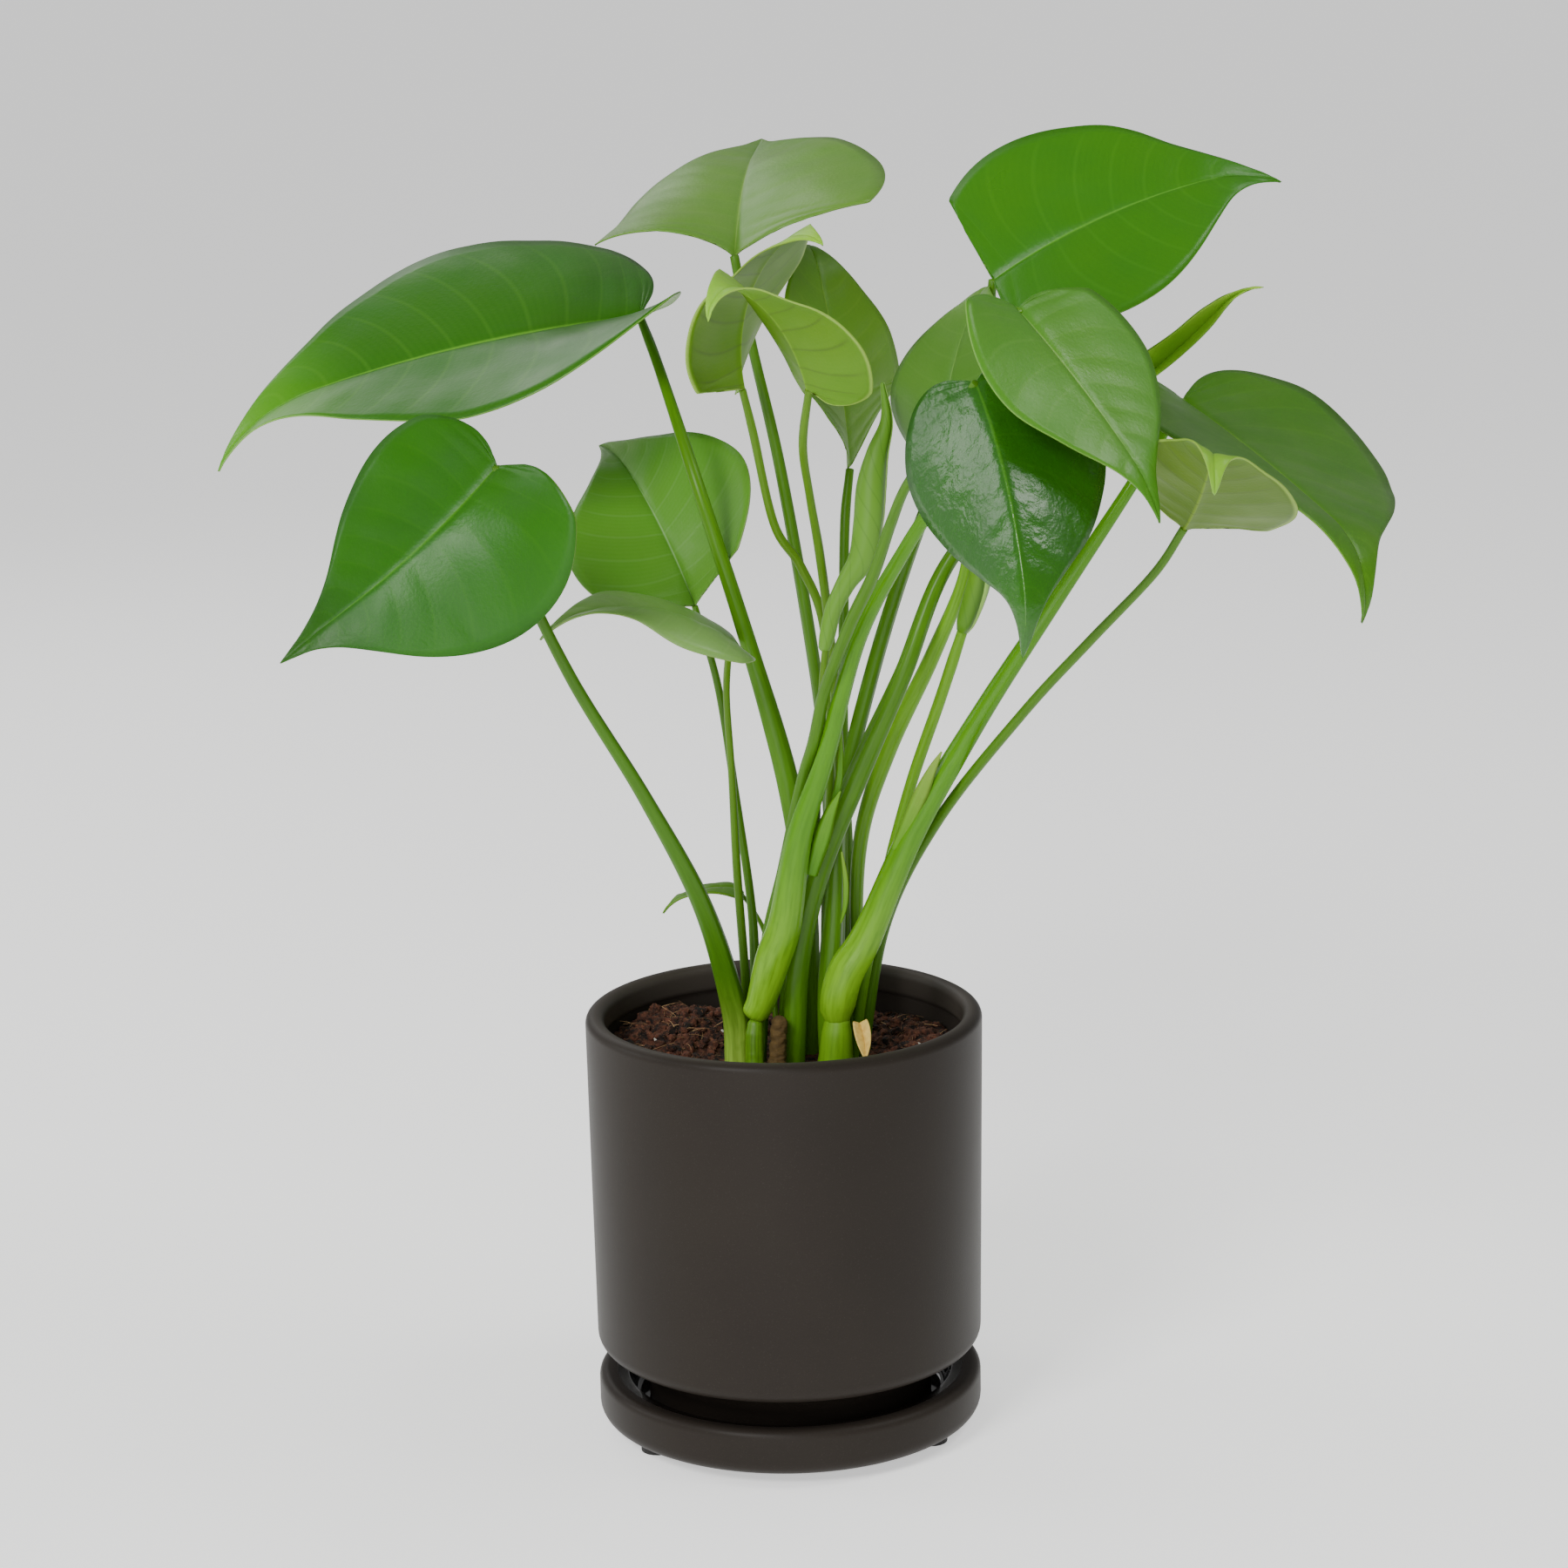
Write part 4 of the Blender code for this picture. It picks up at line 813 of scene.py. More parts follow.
for index, (name, (route, end_radius)) in enumerate(STALKS.items()):
    nx, ny, nz = NECKS[name]
    last = Vector(route[-1][:3])
    neck = Vector((nx, ny, nz))
    stop = neck - (neck - last).normalized() * STALK_GAP
    foot = (*route[0][:2], route[0][2] - 0.0015, route[0][3]) if route[0][2] == 0.0 else route[0]
    whole = on_plant((foot,) + tuple(route[1:]) + ((*stop, end_radius),))
    shape = stalk_shape(SHEATHS.get(name, 0.0), 1.7 * index, KNOBS.get(name, 0.0))
    grown_tube("stalk_of_" + name, whole, STALK_RINGS, STALK_SIDES, shape, STALK_SKINS[STALK_KINDS[name]],
               "stalk", ("stalk_" + name,), ends=(0.6, 0.3))

# ---------------------------------------------------------------- sheath edges
# Thin edges of leaf sheath that stand off the stalks: pale green, papery where they have torn and
# dried. Each is a long flat scale that grows from its stalk.


def flat_scale(share, turn):
    """A tube's section squeezed to a scale an eighth as thick as it is wide."""
    return 1.0 / math.sqrt(math.cos(turn) ** 2 + (math.sin(turn) / 0.13) ** 2)


green_sheath = stalk_skin("green_sheath_skin", "#488006", "#5C9014", "#386404", 0.03, gloss=0.4, flecks=0.3)
torn_sheath = stalk_skin("torn_sheath_skin", "#548C0A", "#84A03A", "#5E7420", 0.044, gloss=0.5, flecks=0.3)
for name, skin, route in (
    ("sheath_edge_torn", green_sheath, ((0.0160, -0.0110, 0.0850, 0.0008), (0.0184, -0.0130, 0.0930, 0.0012),
                                        (0.0192, -0.0135, 0.1010, 0.0010), (0.0196, -0.0135, 0.1090, 0.0003))),
    ("sheath_edge_pointed", green_sheath, ((0.0095, -0.0130, 0.0640, 0.0020), (0.0130, -0.0145, 0.0760, 0.0028),
                                           (0.0160, -0.0150, 0.0850, 0.0018), (0.0190, -0.0150, 0.0912, 0.0003))),
    ("sheath_edge_papery", torn_sheath, ((0.0186, -0.0120, 0.0480, 0.0003), (0.0200, -0.0130, 0.0540, 0.0008),
                                         (0.0203, -0.0130, 0.0620, 0.0009), (0.0192, -0.0120, 0.0710, 0.0003))),
    ("sheath_edge_right", torn_sheath, ((0.0360, -0.0145, 0.0720, 0.0016), (0.0432, -0.0160, 0.0880, 0.0024),
                                        (0.0474, -0.0166, 0.0975, 0.0015), (0.0506, -0.0168, 0.1036, 0.0003))),
):
    grown_tube(name, on_plant(route), 40, 24, flat_scale, skin, "stalk", (), ends=(0.1, 0.1))

# ---------------------------------------------------------------- leaves
# Sixteen heart-shaped living leaves, each one blade of waxy skin about half a millimetre thick with
# a sunken midrib on top and a raised one below. Young ones are paler and still curled at the tip.

# One half of a flat leaf: (distance along the midrib / length, distance from it / half width).
# It runs from the sinus at the neck round the lobe and the widest point to the drip tip.
LEAF_OUTLINE = (
    (0.0, 0.0), (-0.045, 0.10), (-0.10, 0.26), (-0.115, 0.44), (-0.085, 0.64), (-0.01, 0.84), (0.10, 0.965),
    (0.22, 1.0), (0.35, 0.955), (0.48, 0.82), (0.60, 0.62), (0.71, 0.38), (0.80, 0.20), (0.88, 0.095),
    (0.95, 0.04), (1.0, 0.0),
)
NECK_VEINS = 0.22
VEIN_SPREAD = 1.25
TIP_START = 0.70
CUP_REACH = 0.45
LEAF_THICKNESS = 0.0005
# The columns of the blade's grid crowd towards the midrib by this power, and its side veins bend
# towards the tip by this share of the length
COLUMN_SPREAD = 1.7
VEIN_BEND = 0.07
RIB_DEPTH = 0.00055
QUILT_HEIGHT = 0.00028
WAVE_HEIGHT = 0.0009
DIMPLE_HEIGHT = 0.0005


def midrib_of(leaf, count=60):
    """The midrib's shares, points, directions and headings, neck first."""
    u = np.linspace(0, 1, count)
    heading = np.radians(leaf["heading"] + leaf["sweep"] * u)
    tip = np.clip((u - TIP_START) / (1 - TIP_START), 0, 1) ** 1.3
    rise = np.radians(leaf["pitch"] - leaf["droop"] * u - leaf["curl"] * tip)
    way = np.stack((np.cos(heading) * np.cos(rise), np.sin(heading) * np.cos(rise), np.sin(rise)), 1)
    run = np.cumsum((way[1:] + way[:-1]) / 2 * leaf["length"] / (count - 1), axis=0)
    x, y, z = leaf["neck"]
    return u, np.vstack(([0, 0, 0], run)) + (x, y, z + plant_z), way, heading


def leaf_frame(leaf, rib, share):
    """Midrib point, direction, left side and upper normal at a share of the length."""
    u, points, ways, headings = rib
    inside = min(max(share, 0.0), 1.0)
    spot = inside * (len(u) - 1)
    index = min(int(spot), len(u) - 2)
    part = spot - index
    way = ways[index] * (1 - part) + ways[index + 1] * part
    way = way / np.linalg.norm(way)
    point = points[index] * (1 - part) + points[index + 1] * part + way * min(share, 0.0) * leaf["length"]
    heading = headings[index] * (1 - part) + headings[index + 1] * part
    level = np.array((-math.sin(heading), math.cos(heading), 0.0))
    upper = np.cross(way, level)
    roll = math.radians(leaf["roll"])
    left = math.cos(roll) * level + math.sin(roll) * upper
    normal = -math.sin(roll) * level + math.cos(roll) * upper
    return point, way, left, normal


def grown_leaf(name, leaf, materials, slot, replaced, rows=90, half_columns=16, relief=1.0):
    """A leaf blade: a grid laid along the veins, bent to shape, relieved, then given its thickness."""
    outline = smooth_path(LEAF_OUTLINE, rows + 1)
    rib = midrib_of(leaf)
    grain = Vector((leaf["neck"][0] * 50, leaf["neck"][1] * 50, leaf["length"] * 90))

    def place(across, along):
        column = across * 2 - 1
        across = math.copysign(abs(column) ** COLUMN_SPREAD, column)
        side, half = (1, 0) if column <= 0 else (-1, 1)
        margin_x, margin_y = outline[round(along * rows)]
        margin_x *= leaf["lobe"] if margin_x < 0 else 1.0
        margin_x = max(margin_x, leaf["wedge"] * margin_y)
        foot = max(0.0, (along - NECK_VEINS) / (1 - NECK_VEINS)) ** VEIN_SPREAD
        share = foot + (margin_x - foot) * abs(across)
        half_width = leaf["half_width"][half]
        reach = margin_y * abs(across) * half_width
        point, way, left, normal = leaf_frame(leaf, rib, share)
        cup = leaf["cup"][half] * min(max((CUP_REACH - share) / CUP_REACH, 0.0), 1.3) ** 1.5
        fold = math.radians(leaf["fold"][half] + cup)
        bend = math.radians(leaf["arch"][half]) / half_width
        if abs(bend) > 1e-6:
            out = (math.sin(fold + bend * reach) - math.sin(fold)) / bend
            lift = (math.cos(fold) - math.cos(fold + bend * reach)) / bend
        else:
            out = math.cos(fold) * reach
            lift = math.sin(fold) * reach
        # The midrib is sunk, the skin between the side veins stands up a little, and the margin waves
        rib_depth = RIB_DEPTH * (1 - 0.75 * share) * math.exp(-(reach / (0.0012 * (1.15 - 0.6 * share))) ** 2)
        vein = abs(math.sin(math.pi * (leaf["veins"] * (along - VEIN_BEND * across * across))))
        quilt = QUILT_HEIGHT * vein ** 0.6 * math.sin(math.pi * min(abs(across), 1.0)) ** 0.5
        wave = WAVE_HEIGHT * relief * abs(across) ** 3 * noise.noise(Vector((along * 7, side * 3.0, 0)) + grain)
        dimple = DIMPLE_HEIGHT * noise.noise(Vector((reach * side * 60, share * leaf["length"] * 60, 4)) + grain)
        height = lift + relief * (quilt - 0.0002) + (dimple * relief + wave) * min(1.0, reach / 0.006) - rib_depth
        return point + side * left * out + normal * height

    blade = shaped_grid(2 * half_columns, rows, place)
    solidify = blade.modifiers.new("thickness", "SOLIDIFY")
    solidify.thickness = leaf.get("thickness", LEAF_THICKNESS)
    solidify.offset = 0.0
    solidify.material_offset = 1
    solidify.material_offset_rim = 2
    for material in materials:
        blade.data.materials.append(material)
    bpy.ops.object.modifier_apply(modifier="thickness")
    blade.data.uv_layers[0].name = "veins"
    hand_over(blade, name, replaced, slot)


def leaf_skin(name, neck, middle, tip, vein, veins, gloss=0.34, vein_share=0.5, rib_share=0.7, fine=0.18,
              dark_veins=0.0, margin=None, soft=0.12, shine=0.26, wrinkle=0.0):
    """Living leaf skin: waxy, coloured from the neck to the tip, with veins drawn along the blade."""
    material, tree, shader = new_material(name)
    uv = add_node(tree, "ShaderNodeUVMap", uv_map="veins")
    parts = add_node(tree, "ShaderNodeSeparateXYZ", {"Vector": uv.outputs["UV"]})
    centred = add_node(tree, "ShaderNodeMath", {0: parts.outputs["X"], 1: 2.0, 2: -1.0}, operation="MULTIPLY_ADD")
    away = add_node(tree, "ShaderNodeMath", {0: centred.outputs[0]}, operation="ABSOLUTE")
    across = add_node(tree, "ShaderNodeMath", {0: away.outputs[0], 1: COLUMN_SPREAD}, operation="POWER")
    place = add_node(tree, "ShaderNodeTexCoord")
    # Side veins run out from the midrib and bend towards the tip
    square = add_node(tree, "ShaderNodeMath", {0: across.outputs[0], 1: 2.0}, operation="POWER")
    bent = add_node(tree, "ShaderNodeMath", {0: square.outputs[0], 1: -VEIN_BEND, 2: parts.outputs["Y"]},
                    operation="MULTIPLY_ADD")
    turned = add_node(tree, "ShaderNodeMath", {0: bent.outputs[0], 1: float(veins)}, operation="MULTIPLY")
    near = add_node(tree, "ShaderNodeMath", {0: turned.outputs[0], 1: 0.5}, operation="PINGPONG")
    side_vein = add_node(tree, "ShaderNodeMapRange", {"Value": near.outputs[0], "From Min": 0.0, "From Max": 0.09,
                                                      "To Min": vein_share, "To Max": 0.0},
                         interpolation_type="SMOOTHSTEP")
    fade = add_node(tree, "ShaderNodeMapRange", {"Value": across.outputs[0], "From Min": 0.75, "From Max": 1.0,
                                                 "To Min": 1.0, "To Max": 0.0})
    side_part = add_node(tree, "ShaderNodeMath", {0: side_vein.outputs["Result"], 1: fade.outputs["Result"]},
                         operation="MULTIPLY")
    # Fine parallel veins between them, about 1.5 mm apart
    fine_turn = add_node(tree, "ShaderNodeMath", {0: bent.outputs[0], 1: float(veins * 6)}, operation="MULTIPLY")
    fine_near = add_node(tree, "ShaderNodeMath", {0: fine_turn.outputs[0], 1: 0.5}, operation="PINGPONG")
    fine_vein = add_node(tree, "ShaderNodeMapRange", {"Value": fine_near.outputs[0], "From Min": 0.0,
                                                      "From Max": 0.5, "To Min": fine, "To Max": 0.0})
    rib = add_node(tree, "ShaderNodeMapRange", {"Value": across.outputs[0], "From Min": 0.003, "From Max": 0.020,
                                                "To Min": rib_share, "To Max": 0.0},
                   interpolation_type="SMOOTHSTEP")
    # Colour from the neck to the tip
    low_part = add_node(tree, "ShaderNodeMapRange", {"Value": parts.outputs["Y"], "From Min": 0.0, "From Max": 0.5},
                        interpolation_type="SMOOTHSTEP")
    high_part = add_node(tree, "ShaderNodeMapRange", {"Value": parts.outputs["Y"], "From Min": 0.72,
                                                      "From Max": 0.96}, interpolation_type="SMOOTHSTEP")
    lower = add_node(tree, "ShaderNodeMix", {0: low_part.outputs["Result"], 6: linear(neck), 7: linear(middle)},
                     data_type="RGBA")
    whole = add_node(tree, "ShaderNodeMix", {0: high_part.outputs["Result"], 6: lower.outputs[2], 7: linear(tip)},
                     data_type="RGBA")
    # Cloudy change of green over 10 to 30 mm, and a fine mottle of about 1 mm
    cloud = add_node(tree, "ShaderNodeTexNoise", {"Vector": place.outputs["Object"], "Scale": 45.0, "Detail": 3.0})
    cloud_part = add_node(tree, "ShaderNodeMapRange", {"Value": cloud.outputs["Fac"], "From Min": 0.35,
                                                       "From Max": 0.7, "To Min": 0.0, "To Max": 0.30})
    clouded = add_node(tree, "ShaderNodeMix", {0: cloud_part.outputs["Result"], 6: whole.outputs[2],
                                               7: linear(vein)}, data_type="RGBA", blend_type="SOFT_LIGHT")
    mottle = add_node(tree, "ShaderNodeTexNoise", {"Vector": place.outputs["Object"], "Scale": 900.0, "Detail": 2.0})
    colour = clouded
    for part in (fine_vein.outputs["Result"], side_part.outputs[0], rib.outputs["Result"]):
        colour = add_node(tree, "ShaderNodeMix", {0: part, 6: colour.outputs[2], 7: linear(vein)},
                          data_type="RGBA")
    if dark_veins:
        dusk = add_node(tree, "ShaderNodeMath", {0: side_part.outputs[0], 1: dark_veins / max(vein_share, 0.01)},
                        operation="MULTIPLY")
        colour = add_node(tree, "ShaderNodeMix", {0: dusk.outputs[0], 6: colour.outputs[2],
                                                  7: linear("#3B5212")}, data_type="RGBA")
    if margin:
        edge = add_node(tree, "ShaderNodeMapRange", {"Value": across.outputs[0], "From Min": 0.94, "From Max": 0.99,
                                                     "To Max": 0.8}, interpolation_type="SMOOTHSTEP")
        colour = add_node(tree, "ShaderNodeMix", {0: edge.outputs["Result"], 6: colour.outputs[2],
                                                  7: linear(margin)}, data_type="RGBA")
    dull = add_node(tree, "ShaderNodeMapRange", {"Value": cloud.outputs["Fac"], "From Min": 0.3, "From Max": 0.7,
                                                 "To Min": gloss - 0.05, "To Max": gloss + 0.08})
    height = add_node(tree, "ShaderNodeMath", {0: side_part.outputs[0], 1: -0.6, 2: mottle.outputs["Fac"]},
                      operation="MULTIPLY_ADD")
    lines = add_node(tree, "ShaderNodeMath", {0: fine_vein.outputs["Result"], 1: -1.6, 2: height.outputs[0]},
                     operation="MULTIPLY_ADD")
    bump = add_node(tree, "ShaderNodeBump", {"Height": lines.outputs[0], "Strength": 0.22, "Distance": 0.0003})
    if wrinkle:
        # Dimples of 3 to 6 mm that break up the shine
        dimples = add_node(tree, "ShaderNodeTexNoise", {"Vector": place.outputs["Object"], "Scale": 210.0,
                                                        "Detail": 3.0})
        bump = add_node(tree, "ShaderNodeBump", {"Height": dimples.outputs["Fac"], "Normal": bump.outputs["Normal"],
                                                 "Strength": wrinkle, "Distance": 0.0016})
    tree.links.new(colour.outputs[2], shader.inputs["Base Color"])
    tree.links.new(dull.outputs["Result"], shader.inputs["Roughness"])
    tree.links.new(bump.outputs["Normal"], shader.inputs["Normal"])
    shader.inputs["Specular IOR Level"].default_value = shine
    shader.inputs["Subsurface Weight"].default_value = soft
    shader.inputs["Subsurface Scale"].default_value = 0.0015
    shader.inputs["Subsurface Radius"].default_value = (0.6, 1.0, 0.2)
    return material


def leaf_of(neck, length, half_width, heading, pitch, roll, droop, sweep, curl, fold, arch, cup, lobe, veins=13,
            wedge=-1.0):
    """A leaf's sizes and angles, in degrees. heading is the way its midrib points, from +X to +Y."""
    return {"neck": neck, "length": length, "half_width": half_width, "heading": heading, "pitch": pitch,
            "roll": roll, "droop": droop, "sweep": sweep, "curl": curl, "fold": fold, "arch": arch, "cup": cup,
            "lobe": lobe, "veins": veins, "wedge": wedge}


# Each leaf by leaf_of: neck from the soil's level, length, left and right half widths, heading, pitch,
# roll, droop, sweep, curl, then fold, arch and cup for left and right, lobe, veins and wedge
LEAVES = {
    "left_large": leaf_of((-0.043, 0.080, 0.231), 0.152, (0.063, 0.064), 192, -4, -26, 19, -12, 40, (10, 10),
                          (-3, -20), (28, -8), 0.54, 15),
    "left_low": leaf_of((-0.082, -0.050, 0.200), 0.087, (0.042, 0.040), 204, -45, -48, -13, -23, 9, (-12, -12),
                        (-19, -2), (38, -3), 0.57),
    "left_upright": leaf_of((-0.026, 0.030, 0.143), 0.090, (0.034, 0.039), 119, 50, -36, 36, -7, 20, (19, 19),
                            (0, 0), (21, 31), 0.0),
    "left_arched": leaf_of((-0.015, -0.009, 0.135), 0.066, (0.028, 0.027), 190, 47, 3, 76, 11, 12, (20, 20),
                           (-75, -32), (11, 6), 0.63, 11),
    "top": leaf_of((-0.011, 0.032, 0.254), 0.122, (0.049, 0.049), 87, 29, -7, 32, -3, -10, (17, 17), (-62, -29),
                   (25, 10), 0.0, 14, 0.06),
    "young_left": leaf_of((-0.009, -0.012, 0.217), 0.077, (0.033, 0.033), 318, 104, 20, 110, -18, 21, (1, 1),
                          (0, 0), (27, 5), 0.0, 12),
    "young_centre": leaf_of((0.011, -0.050, 0.221), 0.066, (0.027, 0.027), 230, 70, -13, 70, 3, 89, (11, 16),
                            (0, 0), (4, 9), 0.63, 11),
    "back_upright": leaf_of((0.025, 0.060, 0.182), 0.090, (0.037, 0.037), 145, 89, 22, 36, -45, 95, (6, 5),
                            (0, 0), (6, 8), 0.0, 13, 0.30),
    "right_large": leaf_of((0.069, 0.010, 0.247), 0.100, (0.043, 0.042), 352, 35, 41, 32, 33, 22, (3, 2), (0, 0),
                           (5, 11), 0.0),
    "front_right": leaf_of((0.070, -0.096, 0.248), 0.076, (0.033, 0.032), 316, -39, 8, 14, 4, 22, (-1, -1),
                           (0, 0), (2, 21), 0.41, 12),
    "front_glossy": leaf_of((0.057, -0.109, 0.229), 0.088, (0.036, 0.036), 286, -35, 25, 41, -4, 47, (-35, -35),
                            (-20, -16), (17, 8), 1.0),
    "behind_front": leaf_of((0.052, -0.022, 0.195), 0.069, (0.028, 0.029), 43, 97, -14, 80, 30, 25, (-1, -1),
                            (0, 0), (-6, 15), 0.70, 11),
    "right_far": leaf_of((0.126, -0.009, 0.211), 0.123, (0.052, 0.050), 295, -14, -17, 10, 1, 90, (5, 7),
                         (-6, -10), (14, 5), 1.0, 14),
    "young_right": leaf_of((0.119, -0.078, 0.182), 0.073, (0.029, 0.027), 278, 29, -20, -6, -13, 188, (10, 11),
                           (0, 0), (6, 15), 0.0, 12),
    "half_open": leaf_of((0.110, 0.010, 0.211), 0.056, (0.014, 0.014), 20, 33, 65, -15, -12, 50, (62, 61),
                         (31, 26), (-15, 7), 0.70, 9),
    "seedling": leaf_of((-0.015, 0.052, 0.044), 0.027, (0.011, 0.011), 188, 10, 7, 47, 8, 17, (7, 6), (-16, -17),
                        (-16, 2), 0.69, 7),
}

# Upper side from the neck to the tip, then its veins, then the same for the under side, then gloss
LEAF_GREENS = {
    "left_large": (("#377012", "#2E650B", "#549314", "#76B436"), ("#6D9642", "#668F3A", "#76A248", "#83AE52"), 0.33),
    "left_low": (("#255C00", "#246100", "#215200", "#448107"), ("#577E24", "#527920", "#577E24", "#6D9434"), 0.38),
    "left_upright": (("#5B8930", "#558927", "#597E33", "#A0C38B"), ("#72904B", "#6B8B44", "#72904B", "#94AF7A"), 0.36),
    "left_arched": (("#6A8F42", "#6F944D", "#7BA055", "#A2C581"), ("#708E49", "#708E49", "#7A9854", "#93B06E"), 0.34),
    "top": (("#59832B", "#5F8A31", "#59842B", "#83AB4B"), ("#648735", "#5E8233", "#648735", "#82A450"), 0.33),
    "young_left": (("#6B9C20", "#71A222", "#88BB29", "#98C73F"), ("#598008", "#567C06", "#76A110", "#769F15"), 0.42),
    "young_centre": (("#72A025", "#76A628", "#82B430", "#98C045"), ("#578109", "#557F08", "#679710", "#6D9716"),
                     0.42),
    "back_upright": (("#4B7612", "#4F7814", "#497012", "#789E36"), ("#547F0A", "#4E730A", "#486B09", "#739B1E"),
                     0.42),
    "right_large": (("#367309", "#357108", "#326E07", "#62A330"), ("#628E34", "#5C8C2E", "#628E34", "#7CA648"), 0.32),
    "front_right": (("#477C1E", "#4B8020", "#437819", "#7EAB50"), ("#6A923E", "#649038", "#6A923E", "#86AA56"), 0.32),
    "front_glossy": (("#1E5501", "#1F5701", "#265E01", "#3F790A"), ("#5B8628", "#568424", "#5B8628", "#739C38"),
                     0.27),
    "behind_front": (("#4F7928", "#537D2F", "#5E8834", "#749E4A"), ("#5D8234", "#61863A", "#749A49", "#83A95F"),
                     0.40),
    "right_far": (("#3A690A", "#3E6E0D", "#44720B", "#6CA026"), ("#668C34", "#61862E", "#668C34", "#7EA446"), 0.34),
    "young_right": (("#66931B", "#6C981F", "#74A623", "#8BB43A"), ("#516E08", "#4E6B06", "#5B8609", "#678610"), 0.42),
    # half_open's upper greens are much paler than the leaf itself: painted light that makes up for the shade inside
    # its fold
    "half_open": (("#9AC640", "#94C03A", "#9AC640", "#AED45A"), ("#5E8A14", "#608C14", "#6A941C", "#86A840"), 0.38),
    "seedling": (("#4D7C07", "#518007", "#588809", "#75A81E"), ("#648A24", "#648A24", "#6C9228", "#82A83E"), 0.42),
}

for name, leaf in LEAVES.items():
    young = name.startswith("young")
    (neck, middle, tip, vein), (low_neck, low_middle, low_tip, low_vein), gloss = LEAF_GREENS[name]
    glossy = name == "front_glossy"
    top_skin = leaf_skin("leaf_skin_upper_" + name, neck, middle, tip, vein, leaf["veins"], gloss,
                         vein_share=0.07, rib_share=0.55, fine=0.02, margin="#8AAA46" if young else None,
                         shine=0.48 if glossy else 0.24, wrinkle=0.32 if glossy else 0.05)
    under_skin = leaf_skin("leaf_skin_under_" + name, low_neck, low_middle, low_tip, low_vein, leaf["veins"],
                           min(gloss + 0.12, 0.5), vein_share=0.16, fine=0.04, dark_veins=0.55 if young else 0.0,
                           margin="#8AAA46" if young else None, soft=0.18)
    grown_leaf("blade_of_" + name, leaf, (top_skin, under_skin, under_skin), "young_leaf" if young else "leaf",
               ("leaf_" + name,))

# ---------------------------------------------------------------- rolled leaves
# Two new leaves that are still rolled up like a scroll, pale green, one edge wrapped over the other.
# Each stands on its own thin stalk.


def rolled_skin(name, pale, deep, edge, phase, twist, run):
    """Unopened leaf: soft pale green, a pale margin where it overlaps, and painted shade in the crease beside it."""
    material, tree, shader = new_material(name)
    uv = add_node(tree, "ShaderNodeUVMap", uv_map="stalk")
    parts = add_node(tree, "ShaderNodeSeparateXYZ", {"Vector": uv.outputs["UV"]})
    height = add_node(tree, "ShaderNodeMapRange", {"Value": parts.outputs["Y"], "From Min": 0.0, "From Max": run},
                      interpolation_type="SMOOTHSTEP")
    tone = add_node(tree, "ShaderNodeMix", {0: height.outputs["Result"], 6: linear(deep), 7: linear(pale)},
                    data_type="RGBA")
    # Veins seen through the roll: faint slanting lines about 3 mm apart
    climb = add_node(tree, "ShaderNodeMath", {0: parts.outputs["Y"], 1: 150.0, 2: parts.outputs["X"]},
                     operation="MULTIPLY_ADD")
    slant = add_node(tree, "ShaderNodeMath", {0: parts.outputs["X"], 1: 4.0, 2: climb.outputs[0]},
                     operation="MULTIPLY_ADD")
    steps = add_node(tree, "ShaderNodeMath", {0: slant.outputs[0], 1: 0.5}, operation="PINGPONG")
    lines = add_node(tree, "ShaderNodeMapRange", {"Value": steps.outputs[0], "From Min": 0.0, "From Max": 0.10,
                                                  "To Min": 0.25, "To Max": 0.0})
    veined = add_node(tree, "ShaderNodeMix", {0: lines.outputs["Result"], 6: tone.outputs[2], 7: linear(edge)},
                      data_type="RGBA")
    # Where round the roll the covering margin lies
    turned = add_node(tree, "ShaderNodeMath", {0: parts.outputs["Y"], 1: twist / (2 * math.pi * run),
                                               2: parts.outputs["X"]}, operation="MULTIPLY_ADD")
    shifted = add_node(tree, "ShaderNodeMath", {0: turned.outputs[0], 1: phase / (2 * math.pi)}, operation="ADD")
    round_it = add_node(tree, "ShaderNodeMath", {0: shifted.outputs[0]}, operation="FRACT")
    # Painted shade: beside the covering margin the crease is darkened towards the edge colour, the same dark green
    # that draws the veins
    painted_crease_shade = add_node(tree, "ShaderNodeMapRange", {"Value": round_it.outputs[0], "From Min": 0.84, "From Max": 1.0,
                                                   "To Max": 0.75}, interpolation_type="SMOOTHSTEP")
    rim = add_node(tree, "ShaderNodeMapRange", {"Value": round_it.outputs[0], "From Min": 0.040, "From Max": 0.075,
                                                "To Min": 0.8, "To Max": 0.0})
    crease_shaded = add_node(tree, "ShaderNodeMix", {0: painted_crease_shade.outputs["Result"], 6: veined.outputs[2], 7: linear(edge)},
                       data_type="RGBA")
    colour = add_node(tree, "ShaderNodeMix", {0: rim.outputs["Result"], 6: crease_shaded.outputs[2],
                                              7: linear("#94BC5C")}, data_type="RGBA")
    bump = add_node(tree, "ShaderNodeBump", {"Height": steps.outputs[0], "Strength": 0.12, "Distance": 0.0003})
    tree.links.new(colour.outputs[2], shader.inputs["Base Color"])
    tree.links.new(bump.outputs["Normal"], shader.inputs["Normal"])
    shader.inputs["Roughness"].default_value = 0.42
    shader.inputs["Specular IOR Level"].default_value = 0.30
    shader.inputs["Subsurface Weight"].default_value = 0.2
    shader.inputs["Subsurface Scale"].default_value = 0.002
    shader.inputs["Subsurface Radius"].default_value = (0.6, 1.0, 0.2)
    return material


def scroll(phase, twist):
    """A rolled leaf's section: its radius grows round the roll and drops at the covering edge."""
    def swell(share, turn):
        part = math.fmod(turn + phase + twist * share + 4 * math.pi, 2 * math.pi) / (2 * math.pi)
        step = part / 0.035 if part < 0.035 else 1 - (part - 0.035) / 0.965
        return 0.84 + 0.15 * step
    return swell


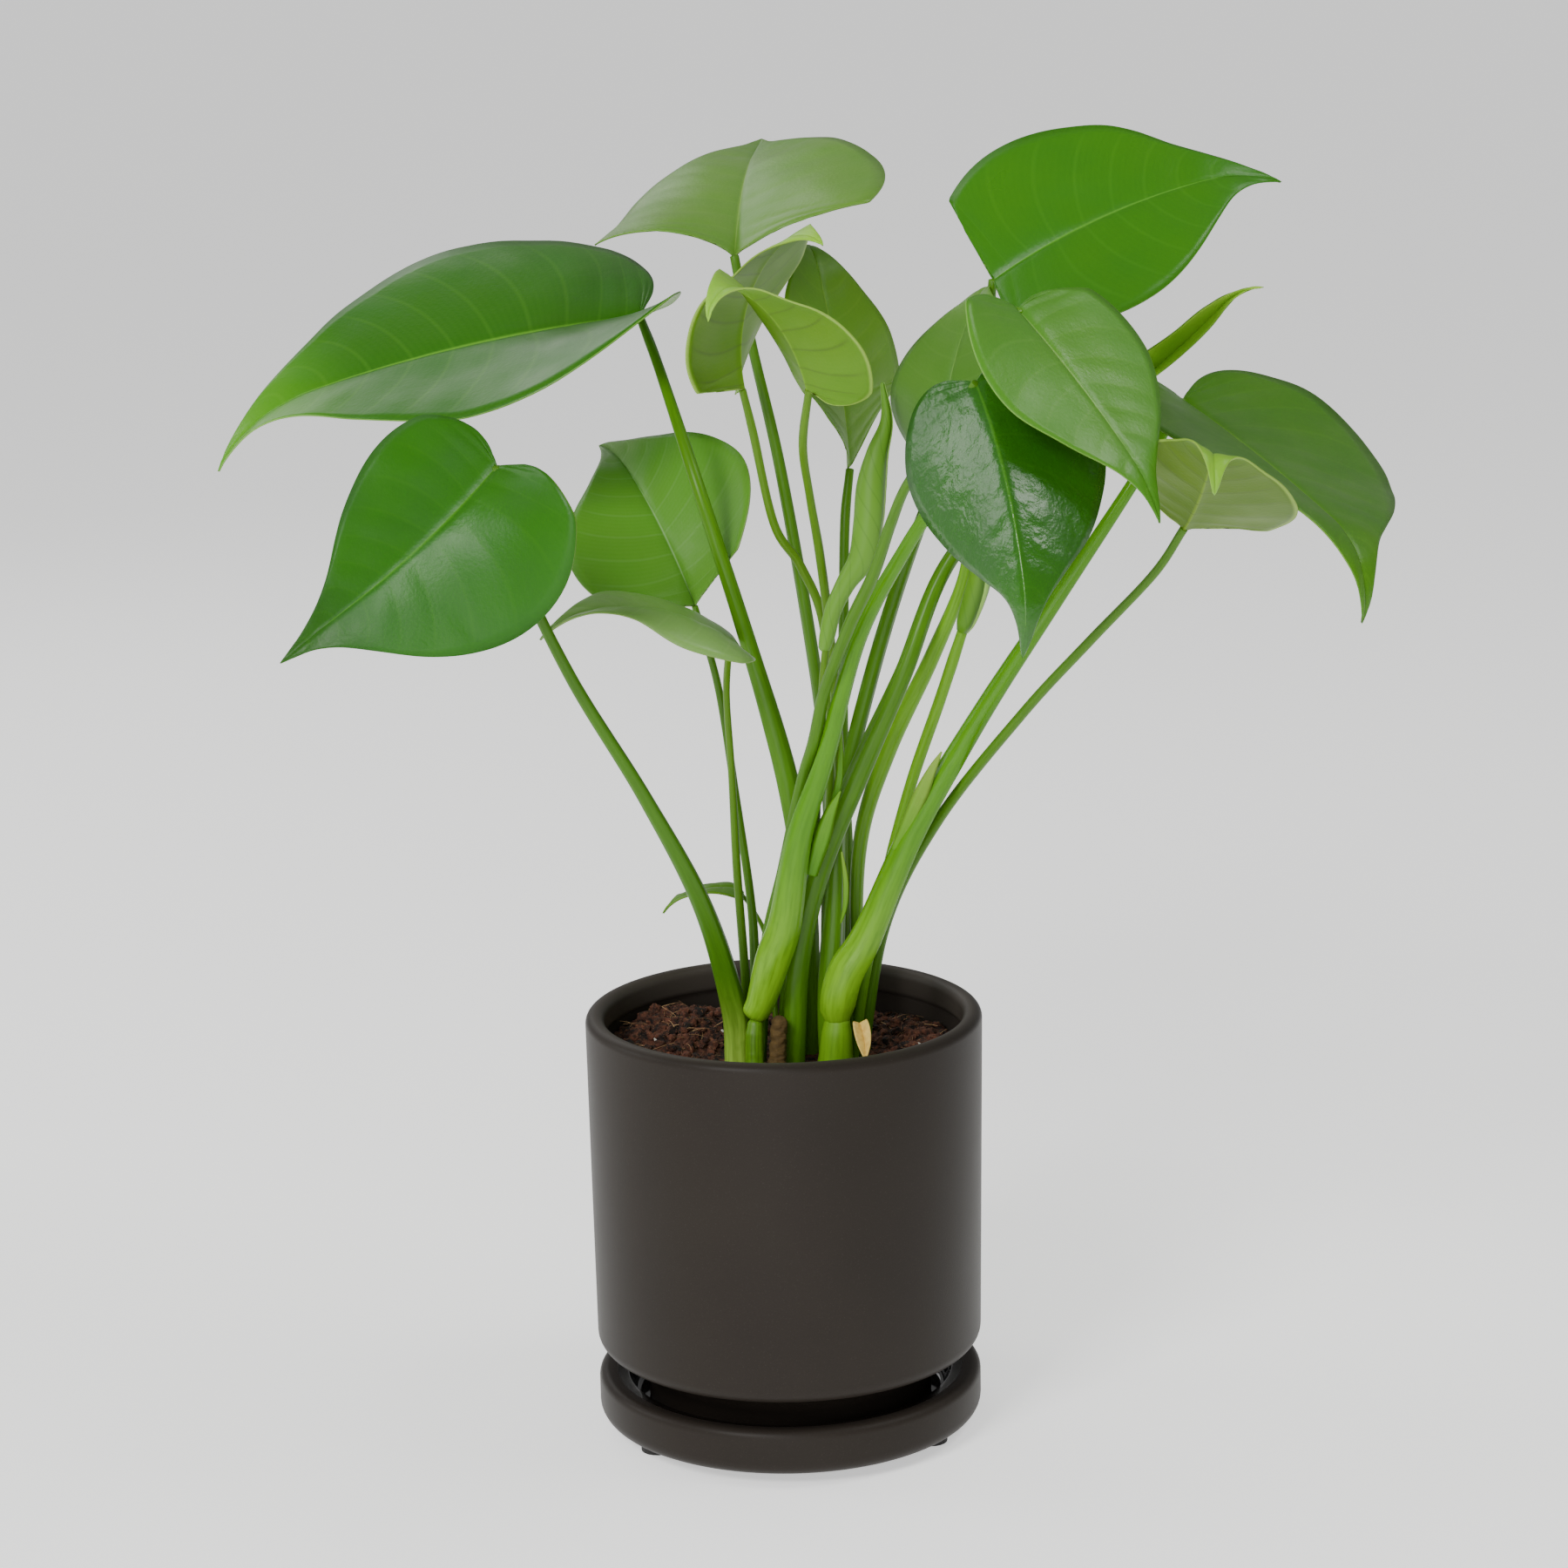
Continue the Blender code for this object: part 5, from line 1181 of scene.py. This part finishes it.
ROLL_CENTRE = ((0.015, -0.009, 0.136, 0.0022), (0.016, -0.009, 0.140, 0.0028), (0.018, -0.010, 0.148, 0.0030),
               (0.022, -0.010, 0.156, 0.0035), (0.027, -0.011, 0.164, 0.0047), (0.029, -0.011, 0.175, 0.0051),
               (0.030, -0.010, 0.186, 0.0050), (0.032, -0.009, 0.196, 0.0037), (0.035, -0.008, 0.206, 0.0021),
               (0.034, -0.007, 0.217, 0.0008))
ROLL_RIGHT = ((0.058, -0.006, 0.140, 0.0022), (0.059, -0.007, 0.143, 0.0032), (0.061, -0.008, 0.149, 0.0038),
              (0.063, -0.009, 0.156, 0.0039), (0.064, -0.010, 0.163, 0.0027), (0.066, -0.011, 0.170, 0.0012))
grown_tube("roll_centre", on_plant(ROLL_CENTRE), 120, 90, scroll(2.4, 1.3),
           rolled_skin("rolled_leaf_centre_skin", "#5C8C24", "#62922A", "#2A5008", 2.4, 1.3, 0.085), "young_leaf",
           ("leaf_rolled_centre",), ends=(0.8, 0.9))
grown_tube("roll_right", on_plant(ROLL_RIGHT), 90, 80, scroll(3.6, 1.0),
           rolled_skin("rolled_leaf_right_skin", "#5C8A14", "#4E7E0C", "#2C500A", 3.6, 1.0, 0.032), "young_leaf",
           ("leaf_rolled_right",), ends=(0.5, 0.9))

# ---------------------------------------------------------------- dried sheath
# A papery scrap of old leaf sheath that has dropped on the soil: dry, straw yellow and curled.

dried_paper, tree, shader = new_material("dried_straw_sheath")
place = add_node(tree, "ShaderNodeTexCoord")
fibre = add_node(tree, "ShaderNodeTexNoise", {"Vector": place.outputs["Object"], "Scale": 700.0, "Detail": 3.0})
colour = add_node(tree, "ShaderNodeMix", {0: fibre.outputs["Fac"], 6: linear("#C49838"), 7: linear("#FFE080")},
                  data_type="RGBA")
bump = add_node(tree, "ShaderNodeBump", {"Height": fibre.outputs["Fac"], "Strength": 0.5, "Distance": 0.0004})
tree.links.new(colour.outputs[2], shader.inputs["Base Color"])
tree.links.new(bump.outputs["Normal"], shader.inputs["Normal"])
shader.inputs["Roughness"].default_value = 0.7
sheath = leaf_of((0.0240, -0.0175, 0.0170), 0.017, (0.0030, 0.0034), 290, -46, 10, -12, -30, 0, (25, 30), (20, 10),
                 (0, 0), 0.0, 5)
sheath["thickness"] = 0.0003
grown_leaf("dried_sheath_scrap", sheath, (dried_paper,), "dried", ("dried_sheath",), rows=40, half_columns=8,
           relief=0.5)
